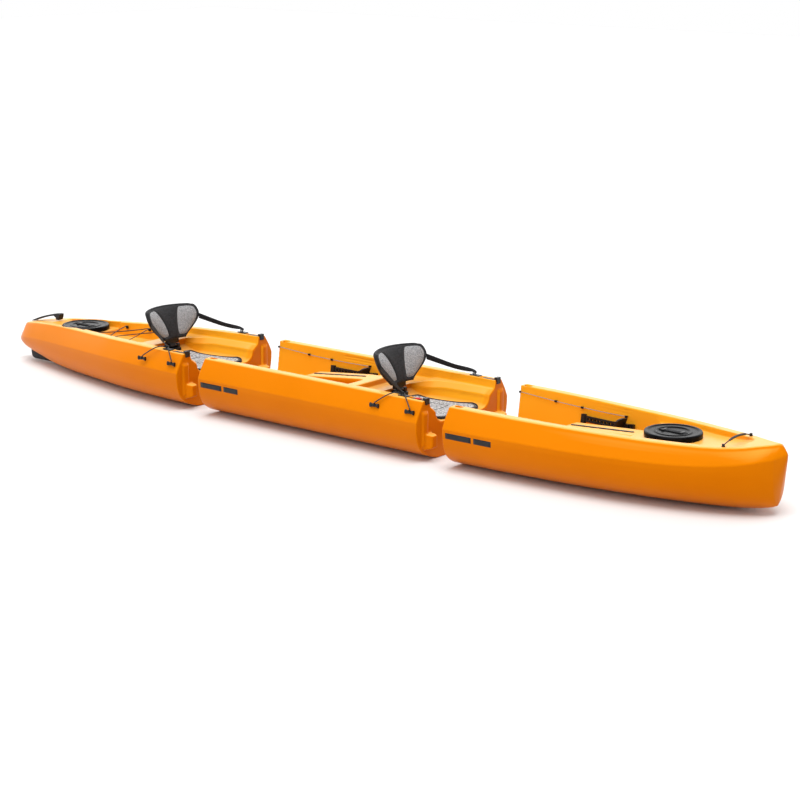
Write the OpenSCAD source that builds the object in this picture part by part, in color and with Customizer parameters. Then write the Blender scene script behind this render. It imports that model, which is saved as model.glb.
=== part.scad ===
// A two-seat sit-on-top kayak that comes apart into three moulded sections: bow, middle and stern.
// The sections stand pulled apart, in line, on their flat bottoms. +X is the bow, +Y is port, +Z is up.

/* [Sections] */
// Length of the middle section
mid_len = 1460; // [1440:10:1480]
// Length of the bow section
bow_len = 1627; // [1627:1:1627]
// Length of the stern section
stern_len = 1662; // [1662:1:1662]
// Space between two sections when they are apart
gap = 155; // [120:5:200]
// Thickness of the moulded wall
wall = 4.5; // [4:0.5:5]

/* [Hull shape] */
// Half width at the chine, the widest line of the hull
chine_y = 371; // [360:1:375]
// Height of the chine
chine_z = 205; // [195:1:215]
// Half width over the gunwale rims
rim_y = 320; // [316:1:324]
// Height of the gunwale rims
rim_z = 303; // [300:1:306]
// Width of the flat top of the gunwale rim
rim_w = 54; // [50:1:58]

/* [Deck] */
// Height of the side decks beside the seat
deck_z = 262; // [260:1:264]
// Height of the footwell floor
foot_z = 120; // [115:1:125]
// Height of the seat floor
seat_z = 176; // [174:1:178]
// Half width of the console between the footwells
console_y = 66; // [60:1:70]
// Height of the middle section's console at its rear end
mid_console_z = 239; // [236:1:241]
// Height of the bow's console at its rear end
bow_console_z = 233; // [229:1:236]

/* [Hatches] */
// Radius of the hatch lids
lid_r = 135; // [130:1:136]
// Radius of the opening through a hatch ring
hatch_r = 104; // [95:1:108]
// Height of a hatch ring above its deck
ring_h = 14; // [12:1:16]

/* [Seats] */
// Half width of the backrests
back_y = 187; // [180:1:189]
// Height of the backrest hinge pins
back_pin_z = 240; // [238:1:241]
// Thickness of the seat pads
pad_h = 15; // [13:1:18]

/* [Rudder] */
// Radius of the rudder stock
stock_r = 9; // [8:0.5:10]
// Thickness of the rudder blade
blade_t = 12; // [10:1:14]

/* [Hidden] */

// Section ends along X, so that the whole kayak is centred on the origin
mid_x = (stern_len - bow_len) / 2;
mid_front = mid_x + mid_len / 2;
mid_rear = mid_x - mid_len / 2;
bow_rear = mid_front + gap;
stern_front = mid_rear - gap;

// Hull stations, in X from the section's joint face:
// [x, flat bottom half width, keel z, chine half width, chine z, rim half width, rim z]
mid_stations = [
    [0, 200, 0, chine_y, chine_z, rim_y, rim_z],
    [mid_len, 200, 0, chine_y, chine_z, rim_y, rim_z],
];
bow_stations = [
    [0, 200, 0, chine_y, chine_z, rim_y, rim_z],
    [250, 188, 0, 368, 206, 315, 302],
    [515, 164, 0, 358, 208, 300, 300],
    [785, 132, 1, 338, 211, 276, 299],
    [1015, 100, 3, 305, 216, 246, 299],
    [1200, 72, 6, 262, 221, 208, 300],
    [1355, 48, 11, 212, 231, 162, 304],
    [1455, 30, 18, 168, 243, 112, 311],
    [1525, 16, 28, 124, 256, 62, 321],
    [1570, 8, 38, 86, 266, 32, 328],
    [1593, 4, 50, 60, 271, 12, 332],
    [1600, 3, 97, 48, 274, 10, 327],
    [1615, 2, 190, 26, 279, 8, 308],
    [bow_len, 1, 262, 6, 280, 3, 290],
];
stern_stations = [
    [0, 200, 0, chine_y, chine_z, rim_y, rim_z],
    [-215, 190, 0, 362, 205, 304, 300],
    [-415, 175, 0, 344, 203, 283, 296],
    [-615, 150, 0, 312, 199, 257, 291],
    [-815, 118, 0, 270, 192, 216, 283],
    [-1015, 84, 1, 225, 184, 172, 275],
    [-1245, 50, 12, 168, 172, 126, 264],
    [-1400, 32, 38, 128, 162, 94, 250],
    [-1500, 20, 56, 100, 152, 70, 237],
    [-1562, 12, 70, 78, 142, 48, 225],
    [-1610, 6, 86, 52, 130, 26, 185],
    [-stern_len, 1, 106, 12, 115, 4, 124],
];

// Hatches: centre, from the section's joint face, and deck height
bow_hatch = [1045, 0, 272];
stern_hatch = [-1105, 0, 240];

// Parts that repeat on each seat, in X back from the front face of the section
back_pin_x = -404;
rim_plate_x = -150;
latch_x = -86;
latch_z = rim_z - 6.5;
rim_fit_y = 293;
// The recess in a rim that a latch lies in: x, y and floor below the rim top
recess_x = -108;
recess_y = 274;
recess_w = 26;
recess_h = 14;

// Parts that repeat on each footwell, in X forward from the rear face of the section
rail_x = 393;
rail_l = 312;
rail_z = 205;
pedal_x = 655;
strip_x = 492;
strip_l = 338;
// The leg space: x from the rear face and floor height, and how far its walls lean in at the foot
leg_floor = [[-20, foot_z], [350, foot_z], [760, foot_z], [830, foot_z + 30], [870, deck_z]];
wall_lean = 20;
// How fast each console rises towards the bow
mid_console_rise = 0.105;
bow_console_rise = 0.063;
// The deck ahead of the middle footwell: a rib across it, a low shelf, then the seat's side decks
mid_deck = [[840, 276], [925, 276], [940, 250], [1040, 252], [1100, deck_z], [mid_len + 20, deck_z]];

// Depth of a foot brace's track, out from the wall
rail_t = 12;
rail_gap = 1.2;

// A steering line's route along the wall: x from the rear face and height
line_r = 1.6;
line_off = 5.5;
line_route = [[10, 271], [110, 265], [225, 259], [300, 256], [385, 254.5], [520, 254], [650, 256]];

// Routes of the two shock cords that leave the loop on the starboard rim plate
cord_r = 3;
cord_fore = [
    [-139, -290, 315], [-134, -295, 317], [-129, -300, 318], [-123, -306, 318], [-117, -312, 316],
    [-111, -317, 313], [-104, -323, 309], [-97, -328, 304], [-90, -333, 298], [-83, -337, 292],
    [-76, -341, 286], [-69, -346, 280], [-62, -350, 274], [-56, -354, 269], [-50, -357, 264],
];
cord_aft = [
    [-161, -290, 315], [-166, -295, 317], [-172, -300, 318], [-179, -306, 318], [-187, -312, 317],
    [-195, -318, 314], [-204, -324, 310], [-213, -329, 305], [-222, -334, 299], [-231, -338, 293],
    [-240, -343, 286], [-248, -347, 280], [-256, -351, 274], [-263, -354, 268], [-270, -357, 263],
];

// Rudder stock, from the stern's joint face, and the tube that it turns in
stock_x = -1430;
tube_r = stock_r + 4;
tube_bottom = 46;
tube_top = 150;

// Drain plug in the rear face of the middle section
plug_r = 12;
plug_z = 60;

// Backrest shell: bend radius of its front in plan, thickness, foot height and backward lean in degrees
back_bend = 277;
back_t = 28;
back_foot_z = 277;
back_lean = 25.2;
// The edge of a backrest from foot to shoulder, seen from the front: y, z
back_edge = [
    [79, back_foot_z], [107, 304], [138, 331], [164, 358], [181, 386],
    [back_y, 408], [back_y - 2.5, 431], [175, 446], [155, 453.5], [100, 455.5], [0, 456],
];

// Bow handle: place from the bow's joint face, height of its ends and half span
handle_x = 1375;
handle_z = 314;
handle_half = 112;

bilge_steps = 6;
round_fn = 32;

// ---------- Outlines and lofts ----------

function bezier(a, b, c, d, t) =
    a * pow(1 - t, 3) + 3 * b * t * pow(1 - t, 2) + 3 * c * t * t * (1 - t) + d * pow(t, 3);

// The half outline of a hull station, up the bilge to the chine and in over the rim, inset by w
function half_outline(s, w) =
    let (
        b = max(0.5, s[1] - w * 0.6), zk = s[2] + w, c = max(1, s[3] - w), zc = s[4],
        r = max(0.8, s[5] - w), zr = s[6] - w, e = min(12, r * 0.8),
        bilge = [for (i = [0 : bilge_steps])
            bezier([b, zk], [b + 0.76 * (c - b), zk + 0.15 * (zc - zk)],
                   [c, zk + 0.34 * (zc - zk)], [c, zc], i / bilge_steps)]
    )
    concat(bilge, [[r + e * 0.3, zr - e], [r - e * 0.2, zr - e * 0.25], [r - e, zr]]);

function mirrored(half) = concat(half, [for (i = [len(half) - 1 : -1 : 0]) [-half[i].x, half[i].y]]);

// The half outline of a trough station [x, top half width, top z, floor half width, floor z, corner]
function trough_outline(s, g) =
    let (wt = s[1] + g, zt = s[2], wb = s[3] + g, zf = s[4] - g, r = s[5])
    [[wt, 420], [wt, zt], [wb, zf + r], [wb - 0.3 * r, zf + 0.3 * r], [wb - r, zf]];

// The points of a half outline and its mirror image, standing across the hull at x
function ring(x, outline) = [for (p = mirrored(outline)) [x, p.x, p.y]];

// The convex solid between two rings of points
module segment(ring_a, ring_b) {
    n = len(ring_a);
    hull()
        polyhedron(concat(ring_a, ring_b), [[for (i = [0 : n - 1]) i], [for (i = [0 : n - 1]) n + i]]);
}

// The solid between the hull stations, inset by w on every side
module hull_loft(stations, w = 0) {
    last = len(stations) - 1;
    dir = sign(stations[last][0] - stations[0][0]);
    x = [for (i = [0 : last]) stations[i][0] + (i == 0 ? w * dir : i == last ? -w * dir * 3 : 0)];
    for (i = [0 : last - 1])
        segment(ring(x[i], half_outline(stations[i], w)), ring(x[i + 1], half_outline(stations[i + 1], w)));
}

// The space over the trough stations, with its walls moved out by g
module trough(stations, g = 0) {
    last = len(stations) - 1;
    x = [for (i = [0 : last]) stations[i][0] + (i == 0 ? -g : i == last ? g : 0)];
    for (i = [0 : last - 1])
        segment(ring(x[i], trough_outline(stations[i], g)), ring(x[i + 1], trough_outline(stations[i + 1], g)));
}

// Half width between the inner walls of the gunwales at x
function rim_in(stations, x) =
    lookup(x, [for (s = stations) [s[0], s[5]]]) - rim_w;

// A smooth tube of radius r along a list of points, closed by flat ends
module cord_tube(points, r, sides = 8) {
    n = len(points);
    dirs = [for (i = [0 : n - 1])
        let (d = points[min(i + 1, n - 1)] - points[max(i - 1, 0)]) d / norm(d)];
    rings = [for (i = [0 : n - 1])
        let (
            ref = abs(dirs[i].z) > 0.9 ? [1, 0, 0] : [0, 0, 1],
            u = cross(dirs[i], ref) / norm(cross(dirs[i], ref)),
            v = cross(dirs[i], u)
        )
        for (k = [0 : sides - 1]) points[i] + r * (cos(k * 360 / sides) * u + sin(k * 360 / sides) * v)];
    sidewalls = [for (i = [0 : n - 2], k = [0 : sides - 1])
        let (a = i * sides + k, b = i * sides + (k + 1) % sides) [a, b, b + sides, a + sides]];
    caps = [[for (k = [sides - 1 : -1 : 0]) k], [for (k = [0 : sides - 1]) (n - 1) * sides + k]];
    polyhedron(rings, concat(sidewalls, caps), convexity = 4);
}

// Places a shape made for the port side on port (1) or, mirrored, on starboard (-1)
module on_side(side) {
    if (side == 1)
        children();
    else
        mirror([0, 1, 0])
            children();
}

// ---------- Wells in the deck, shared by the sections ----------

// The leg space over the rear end of a section, with the console left standing in it
module leg_well(stations, g, console_z, rise) {
    difference() {
        trough([for (p = leg_floor)
            let (w = rim_in(stations, p[0]))
            [p[0], w, rim_z - 6, w - wall_lean, p[1], 34]], g);
        console(g, console_z, rise);
    }
}

// The half outline of the console, w wide and z high at this station
function console_outline(z, g) =
    [[console_y + 12 - g, 60], [console_y - g, z - 14 - g], [console_y - 10 - g, z - g]];

module console(g, console_z, rise) {
    top = console_z + 360 * rise;
    stations = [[345, foot_z + 1], [450, console_z - 12], [480, console_z], [840, top], [900, max(top, deck_z)]];
    for (i = [0 : len(stations) - 2])
        segment(ring(stations[i][0] + g, console_outline(stations[i][1], g)),
                ring(stations[i + 1][0] + g, console_outline(stations[i + 1][1], g)));
}

// The groove along the top of a console that takes its black strip
module console_groove(console_z, rise) {
    hull()
        for (x = [strip_x, strip_x + strip_l])
            translate([x, 0, console_z - 5 + rise * (x - 480)])
                cylinder(h = 40, r = 7, $fn = 12);
}

// The low deck between the gunwales, from x = a to b
module side_deck(stations, a, b, g) {
    xs = [for (i = [0 : 4]) a + (b - a) * i / 4];
    trough([for (x = xs) [x, rim_in(stations, x), rim_z - 8, rim_in(stations, x) - 6, deck_z, 8]], g);
}

// The seat pan, open through the front face
module seat_pan(g) {
    trough([
        [-420, 128, deck_z, 112, 232, 14],
        [-374, 176, deck_z, 140, 200, 34],
        [-330, 212, deck_z, 172, 182, 50],
        [-250, 232, deck_z, 196, seat_z + 1, 60],
        [-160, 240, deck_z, 204, seat_z, 60],
        [-60, 244, deck_z, 206, seat_z + 2, 60],
        [-30, 240, deck_z, 202, seat_z + 2, 60],
        [4, 260, deck_z, 218, seat_z + 2, 52],
        [20, 260, deck_z, 218, seat_z + 2, 52],
    ], g);
}

// The slot in the top of each rim that takes the latch of the next section
module latch_slots(g) {
    for (side = [-1, 1])
        hull()
            for (x = [28, 44])
                translate([x, side * (rim_y - 37), rim_z - 14 - g])
                    cylinder(h = 40, r = 14 + g, $fn = 24);
}

// The recess in each rim at a front face that the section's own latch lies in
module latch_recesses(g) {
    for (side = [-1, 1])
        on_side(side)
            translate([recess_x - g, recess_y - g, rim_z - recess_h - g])
                cube([130, recess_w + 2 * g, 40]);
}

// The pockets in a rear face that take the lugs and ridges of the next section
module lug_pockets(g) {
    for (side = [-1, 1])
        on_side(side) {
            translate([-20 - g, 250 - g, 56 - g])
                cube([76 + 2 * g, 70 + 2 * g, 90 + 2 * g]);
            translate([-20 - g, 282 - g, 68 - g])
                cube([36 + 2 * g, 49 + 2 * g, 194 + 2 * g]);
        }
}

// The lugs and ridges that stand out from a front face
module lugs() {
    for (side = [-1, 1])
        on_side(side) {
            hull() {
                translate([-2, 256, 62])
                    cube([2, 58, 78]);
                translate([28, 259, 66])
                    cube([2, 52, 72]);
                translate([47, 268, 76])
                    cube([2, 34, 58]);
            }
            hull()
                for (y = [296, 316], z = [84, 239])
                    translate([0, y, z])
                        sphere(r = 11, $fn = 16);
        }
}

// ---------- Hull sections ----------

module mid_wells(g) {
    leg_well(mid_stations, g, mid_console_z, mid_console_rise);
    trough([for (p = mid_deck)
        let (w = rim_in(mid_stations, p[0]))
        [p[0], w, rim_z - 8, w - 6, p[1], 8]], g);
    translate([mid_len, 0, 0])
        seat_pan(g);
    translate([mid_len, 0, 0])
        latch_recesses(g);
    latch_slots(g);
    lug_pockets(g);
}

module mid_hull() {
    color("orange")
        translate([mid_rear, 0, 0]) {
            difference() {
                hull_loft(mid_stations);
                mid_wells(0);
                difference() {
                    hull_loft(mid_stations, wall);
                    mid_wells(wall);
                }
                console_groove(mid_console_z, mid_console_rise);
                translate([-1, 0, plug_z])
                    rotate([0, 90, 0])
                        cylinder(h = 20, r = plug_r + 0.2, $fn = round_fn);
            }
            translate([mid_len, 0, 0])
                lugs();
        }
}

module bow_wells(g) {
    leg_well(bow_stations, g, bow_console_z, bow_console_rise);
    side_deck(bow_stations, 840, 960, g);
    trough([for (p = [[930, deck_z + 6], [970, bow_hatch.z], [1190, bow_hatch.z],
                      [1300, 278], [1400, 296], [1440, 312]])
        let (w = max(40, rim_in(bow_stations, p[0])))
        [p[0], w, max(296, p[1] + 3), w - 4, p[1], 4]], g);
    latch_slots(g);
    lug_pockets(g);
}

module bow_hull() {
    color("orange")
        translate([bow_rear, 0, 0])
            difference() {
                hull_loft(bow_stations);
                bow_wells(0);
                difference() {
                    hull_loft(bow_stations, wall);
                    bow_wells(wall);
                }
                console_groove(bow_console_z, bow_console_rise);
                translate([bow_hatch.x, 0, 150])
                    cylinder(h = 200, r = hatch_r, $fn = 64);
            }
}

module stern_wells(g) {
    side_deck(stern_stations, -560, 20, g);
    seat_pan(g);
    latch_recesses(g);
    // The tank well behind the seat
    trough([for (p = [[-970, 240], [-930, 205], [-600, 196], [-560, 214], [-520, deck_z]])
        let (w = rim_in(stern_stations, p[0]))
        [p[0], w, rim_z - 30, w - 14, p[1], 14]], g);
    // The hatch deck
    trough([for (p = [[-1330, 262], [-1250, stern_hatch.z], [-960, stern_hatch.z]])
        let (w = rim_in(stern_stations, p[0]) + 14)
        [p[0], w, 262, w - 4, p[1], 4]], g);
    translate([stern_hatch.x, 0, stern_hatch.z - g])
        cylinder(h = 60 + g, r = lid_r + 3 + g, $fn = 64);
}

module stern_hull() {
    color("orange")
        translate([stern_front, 0, 0]) {
            difference() {
                hull_loft(stern_stations);
                stern_wells(0);
                difference() {
                    hull_loft(stern_stations, wall);
                    stern_wells(wall);
                    translate([stock_x, 0, -5])
                        cylinder(h = 300, r = tube_r + 8, $fn = round_fn);
                }
                translate([stern_hatch.x, 0, 150])
                    cylinder(h = 200, r = hatch_r, $fn = 64);
                translate([stock_x, 0, -5])
                    cylinder(h = tube_top + 5.2, r = tube_r + 0.2, $fn = round_fn);
            }
            lugs();
        }
}

// ---------- Fittings on the footwells ----------

// The black strip in the groove of a console
module console_strip(rear, console_z, rise) {
    color("#1c1c1e")
        translate([rear + strip_x, 0, console_z - 4.3 + rise * (strip_x - 480)])
            rotate([0, -atan(rise), 0])
                linear_extrude(7)
                    union() {
                        translate([0, -6])
                            square([strip_l, 12]);
                        for (x = [0, strip_l])
                            translate([x, 0])
                                circle(r = 6, $fn = round_fn);
                    }
}

// The gunwale's inner wall at x and height z, measured from the centre line
function wall_y(stations, x, z) =
    lookup(x, [for (p = leg_floor) [p[0], rim_in(stations, p[0])]])
    - wall_lean * (rim_z - 6 - z) / (rim_z - foot_z - 40);

// The angle in plan of the inner wall beside the rail
function rail_yaw(stations) =
    atan((wall_y(stations, rail_x + rail_l, rail_z) - wall_y(stations, rail_x, rail_z)) / rail_l);

wall_tilt = atan(wall_lean / (rim_z - foot_z - 40));

// Places a shape on the rail's line, at a distance along it from its rear end
module at_rail(stations, along) {
    translate([rail_x, wall_y(stations, rail_x, rail_z) - rail_gap, rail_z])
        rotate([0, 0, rail_yaw(stations)])
            translate([along, 0, 0])
                rotate([-wall_tilt, 0, 0])
                    children();
}

// The perforated track of a foot brace, screwed to the inner wall
module rail(rear, stations, side) {
    color("#1c1c1e")
        translate([rear, 0, 0])
            on_side(side)
                at_rail(stations, 0)
                    difference() {
                        union() {
                            translate([0, -rail_t, -15])
                                cube([rail_l, rail_t - 0.4, 30]);
                            for (x = [0, rail_l - 22])
                                translate([x, -rail_t - 6, -22])
                                    cube([22, rail_t + 5.6, 44]);
                        }
                        for (i = [0 : 10])
                            translate([42 + i * 21.5, -rail_t - 10, 0])
                                rotate([-90, 0, 0])
                                    cylinder(h = 30, r = 6, $fn = round_fn);
                    }
}

// The pad of a pedal seen along the hull: y out towards the wall, z up, with a fin-shaped top
function pedal_outline() =
    concat([[-68, -42], [2, -42], [2, 47]],
           [for (i = [1 : 6]) bezier([2, 47], [-30, 50], [-60, 46], [-74, 34], i / 6)],
           [[-74, -34]]);

// A foot pedal: a carriage that slides on the track, and the pad that the foot presses
module pedal(rear, stations, side) {
    color("#1c1c1e")
        translate([rear, 0, 0])
            on_side(side)
                at_rail(stations, pedal_x - rail_x) {
                    translate([-25, -rail_t - 14, -19])
                        cube([50, 13.6, 38]);
                    for (z = [-19, 15.4])
                        translate([-25, -rail_t - 1, z])
                            cube([50, rail_t - 1, 3.6]);
                    translate([0, -rail_t - 13, 2])
                        rotate([0, 14, 0])
                            translate([-2, 0, 0])
                                rotate([90, 0, 90])
                                    linear_extrude(8)
                                        polygon(pedal_outline());
                    for (z = [-26, -12, 16, 28])
                        translate([-6, -rail_t - 82, z])
                            rotate([-90, 0, 0])
                                cylinder(h = 60, r = 3, $fn = round_fn);
                }
}

// The steering line along an inner wall, from the bead at the rear face to the clip above the pedal
function line_points(stations) = [for (p = line_route) [p.x, wall_y(stations, p.x, p.y) - line_off, p.y]];

module steering_line(rear, stations, side) {
    color("#6d6f72")
        translate([rear, 0, 0])
            on_side(side)
                cord_tube(line_points(stations), line_r, 8);
}

// The two saddles that hold a steering line to the wall, on both sides
module line_eyes(rear, stations) {
    color("#1c1c1e")
        translate([rear, 0, 0])
            for (side = [-1, 1], p = [line_route[2], line_route[4], line_route[6]])
                on_side(side)
                    translate([p.x, wall_y(stations, p.x, p.y) - line_off, p.y])
                        difference() {
                            translate([-7, -4.5, -5])
                                cube([14, 8, 10]);
                            rotate([0, 90, 0])
                                cylinder(h = 40, r = line_r + 0.5, center = true, $fn = round_fn);
                        }
}

// The bead on the rear end of each steering line
module line_beads(rear, stations) {
    color("#1c1c1e")
        translate([rear, 0, 0])
            for (side = [-1, 1])
                on_side(side)
                    translate([line_route[0].x - 6.2, wall_y(stations, 0, line_route[0].y) - 7, line_route[0].y])
                        sphere(r = 6, $fn = round_fn);
}

// ---------- Seats ----------

// The seat pad lines the pan: thick on its floor and thin up its sides
module seat_pad(front) {
    color("#8d9094")
        translate([front, 0, 0])
            intersection() {
                difference() {
                    seat_pan(-0.5);
                    translate([0, 0, pad_h])
                        seat_pan(-0.8);
                }
                translate([0, 0, 150])
                    linear_extrude(56)
                        hull()
                            for (c = [[-320, 70, 55], [-72, 112, 64]], side = [-1, 1])
                                translate([c[0], side * c[1]])
                                    circle(r = c[2], $fn = 40);
            }
}

// The hinge bracket of a backrest, standing on the rear slope of the pan
module back_base(front) {
    color("#1c1c1e")
        translate([front + back_pin_x, 0, 0]) {
            translate([0, 50, 0])
                rotate([90, 0, 0])
                    linear_extrude(100)
                        polygon([[-14, 231.5], [18, 209.2], [18, 224], [-14, 232.5]]);
            for (side = [-1, 1])
                on_side(side)
                    difference() {
                        union() {
                            translate([0, 50, 0])
                                rotate([90, 0, 0])
                                    linear_extrude(18)
                                        polygon([[-9, 229.5], [9, 221], [9, back_pin_z], [-9, back_pin_z]]);
                            translate([0, 50, back_pin_z])
                                rotate([90, 0, 0])
                                    cylinder(h = 18, r = 9, $fn = round_fn);
                        }
                        translate([0, 51, back_pin_z])
                            rotate([90, 0, 0])
                                cylinder(h = 20, r = 3.95, $fn = round_fn);
                    }
            translate([0, 54, back_pin_z])
                rotate([90, 0, 0])
                    cylinder(h = 108, r = 4, $fn = round_fn);
        }
}

// A backrest: a padded shell that wraps forward at the sides, on a hinge barrel at its foot
module backrest(front) {
    lean = tan(back_lean);
    color("#242428")
        translate([front + back_pin_x, 0, 0])
            difference() {
                union() {
                    multmatrix([[1, 0, -lean, lean * back_foot_z], [0, 1, 0, 0], [0, 0, 1, 0]])
                        intersection() {
                            translate([-18, 0, 0])
                                rotate([90, 0, 90])
                                    linear_extrude(120)
                                        polygon(mirrored(back_edge));
                            translate([back_bend + 16, 0, 260])
                                difference() {
                                    cylinder(h = 210, r = back_bend + back_t, $fn = 128);
                                    translate([0, 0, -1])
                                        cylinder(h = 212, r = back_bend, $fn = 128);
                                }
                        }
                    translate([-8, -26, back_pin_z])
                        cube([14, 52, 20]);
                    translate([-8, -40, back_pin_z + 13])
                        cube([14, 80, 35]);
                    translate([0, 26, back_pin_z])
                        rotate([90, 0, 0])
                            cylinder(h = 52, r = 9, $fn = round_fn);
                }
                translate([0, 60, back_pin_z])
                    rotate([90, 0, 0])
                        cylinder(h = 120, r = 4.05, $fn = round_fn);
            }
}

// A flat strap between two points, with its width upright at the first and flat at the last
module strap_piece(a, b) {
    hull() {
        translate(a)
            cube([2.5, 3, 24], center = true);
        translate(b)
            cube([3, 20, 2.5], center = true);
    }
}

// The webbing from a backrest's wing down to the plate on the rim
module back_strap(front, side) {
    color("#17171a")
        translate([front, 0, 0])
            on_side(side) {
                strap_piece([-374, 188.5, 386], [-245, 244, 345]);
                strap_piece([-245, 244, 345], [rim_plate_x - 4, rim_fit_y - 5, rim_z + 23.3]);
            }
}

// ---------- Rim fittings, cords and toggles ----------

// The plate on a gunwale rim with the loop for strap and cord, and the latch's pin and ears in the recess
module rim_plate(front, side) {
    color("#1c1c1e")
        translate([front, 0, 0])
            on_side(side) {
                translate([rim_plate_x - 20, rim_fit_y - 19, rim_z + 0.1])
                    cube([58, 28, 4]);
                translate([rim_plate_x, rim_fit_y - 5, rim_z + 11])
                    rotate([90, 0, 0])
                        rotate_extrude($fn = 48)
                            translate([8, 0])
                                circle(r = 2.5, $fn = 16);
                for (y = [recess_y + 0.2, recess_y + recess_w - 3.2])
                    translate([latch_x - 6, y, rim_z - recess_h + 0.1])
                        cube([12, 3, recess_h - 3]);
                translate([latch_x, recess_y + 0.4, latch_z])
                    rotate([-90, 0, 0])
                        cylinder(h = recess_w - 0.8, r = 2.5, $fn = round_fn);
            }
}

// The latch that reaches over the joint: a lever in the recess and a nose that hangs over the front face
module latch(front, side) {
    color("#1c1c1e")
        translate([front, 0, 0])
            on_side(side)
                difference() {
                    union() {
                        translate([latch_x, recess_y + 4, latch_z])
                            rotate([-90, 0, 0])
                                cylinder(h = recess_w - 8, r = 5.4, $fn = round_fn);
                        translate([latch_x, recess_y + 4, latch_z - 5.4])
                            cube([-latch_x + 1, recess_w - 8, 10.4]);
                        translate([-14, recess_y - 1, rim_z + 0.5])
                            cube([18.4, 30, 11]);
                        translate([-14, recess_y + 4, rim_z - 4])
                            cube([18.4, recess_w - 8, 8]);
                        translate([0.6, recess_y - 1, rim_z - 21])
                            cube([3.8, 30, 25]);
                    }
                    translate([latch_x, recess_y, latch_z])
                        rotate([-90, 0, 0])
                            cylinder(h = recess_w, r = 2.55, $fn = round_fn);
                }
}

// A shock cord that leaves the rim loop and hangs over the starboard side
module toggle_cord(front, route) {
    color("#141416")
        translate([front, 0, 0])
            cord_tube(route, cord_r, 8);
}

// The winged toggle on the end of a cord
module toggle(front, route) {
    end = route[len(route) - 1];
    color("#1c1c1e")
        translate([front + end.x, end.y - 3, end.z - 10.5]) {
            cylinder(h = 8, r1 = 7.5, r2 = 5, $fn = round_fn);
            translate([0, 0, -9])
                cylinder(h = 9.01, r = 7.5, $fn = round_fn);
            for (dx = [-1, 1])
                translate([dx * 16, 0, -3.5])
                    rotate([0, dx * 90, 0])
                        scale([1, 0.65, 1])
                            cylinder(h = 20, r1 = 7, r2 = 12, center = true, $fn = round_fn);
        }
}

// ---------- Hatches ----------

module hatch_ring(section, hatch) {
    color("#232326")
        translate([section + hatch.x, 0, hatch.z])
            rotate_extrude($fn = 96)
                polygon([[hatch_r - 4, -16], [hatch_r - 0.4, -16], [hatch_r - 0.4, 0.1],
                         [lid_r - 6, 0.1], [lid_r - 6, 4], [hatch_r + 8, 5], [hatch_r + 8, ring_h],
                         [hatch_r - 4, ring_h]]);
}

module hatch_lid(section, hatch) {
    color("#151517")
        translate([section + hatch.x, 0, hatch.z]) {
            rotate_extrude($fn = 96)
                polygon([[0, 17], [86, 17], [90, 15.5], [hatch_r + 9, 15], [lid_r - 5, 13], [lid_r - 5, 0.8],
                         [lid_r, 0.8], [lid_r, 22], [lid_r - 5, 28], [lid_r - 14, 28], [lid_r - 20, 24],
                         [90, 24], [86, 26.5], [76, 26.5], [72, 22], [0, 22]]);
            translate([-70, -14, 21])
                cube([140, 28, 6]);
            for (x = [-48, 48])
                translate([x - 7, -20, 21])
                    cube([14, 40, 8]);
        }
}

// ---------- Handles, rudder, bungee and drain plug ----------

// The carrying handle across the bow: a sleeve on a cord that arches between two eyes
module bow_handle() {
    color("#3a3b3e")
        translate([bow_rear + handle_x, 0, handle_z])
            cord_tube([for (i = [0 : 16])
                let (t = i / 8 - 1)
                [0, handle_half * t, 17 * (1 - t * t)]], 6, 10);
}

module bow_handle_eyes() {
    color("#1c1c1e")
        for (side = [-1, 1])
            on_side(side)
                translate([bow_rear + handle_x, handle_half + 10.5, handle_z - 7.5])
                    union() {
                        cylinder(h = 4, r = 8, $fn = round_fn);
                        cylinder(h = 12, r = 6.5, $fn = round_fn);
                    }
}

// The moulded handle over the tail, seen from the side
module stern_handle() {
    color("#1c1c1e")
        translate([stern_front, 17, 0])
            rotate([90, 0, 0])
                linear_extrude(34)
                    polygon(concat(
                        [for (i = [0 : 8])
                            bezier([-1556, 232], [-1490, 262], [-1410, 288], [-1322, 303], i / 8)],
                        [[-1306, 300], [-1310, 278], [-1318, 264], [-1342, 264], [-1344, 276], [-1362, 284]],
                        [for (i = [1 : 8])
                            bezier([-1362, 284], [-1410, 274], [-1470, 256], [-1528, 236], i / 8)],
                        [[-1530, 243.5 - 9], [-1550, 231]]
                    ));
}

// The underside of the tail at x, from the stern's stations
function under_z(x) = lookup(x, [for (s = stern_stations) [s[0], s[2]]]);

// The rudder blade and its stock, which turns in the tube
module rudder_blade() {
    color("#17171a") {
        translate([stern_front, blade_t / 2, 0])
            rotate([90, 0, 0])
                linear_extrude(blade_t)
                    polygon(concat(
                        [for (i = [0 : 6]) let (x = -1335 - i * 40) [x, under_z(x) - 6]],
                        [for (i = [0 : 5])
                            bezier([-1578, 64], [-1578, 20], [-1572, 8], [-1547, 5], i / 5)],
                        [[-1335, 4]]
                    ));
        translate([stern_front + stock_x, 0, 8])
            cylinder(h = tube_top - 10, r = stock_r, $fn = round_fn);
    }
}

module rudder_tube() {
    color("#2a2a2e")
        translate([stern_front + stock_x, 0, tube_bottom])
            difference() {
                cylinder(h = tube_top - tube_bottom, r = tube_r, $fn = round_fn);
                translate([0, 0, -1])
                    cylinder(h = tube_top, r = stock_r + 0.05, $fn = round_fn);
            }
}

// Where the hooks of the bungee stand: x, half width
bungee_posts = [for (x = [-590, -750, -900]) [x, rim_in(stern_stations, x) - 20]];

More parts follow.
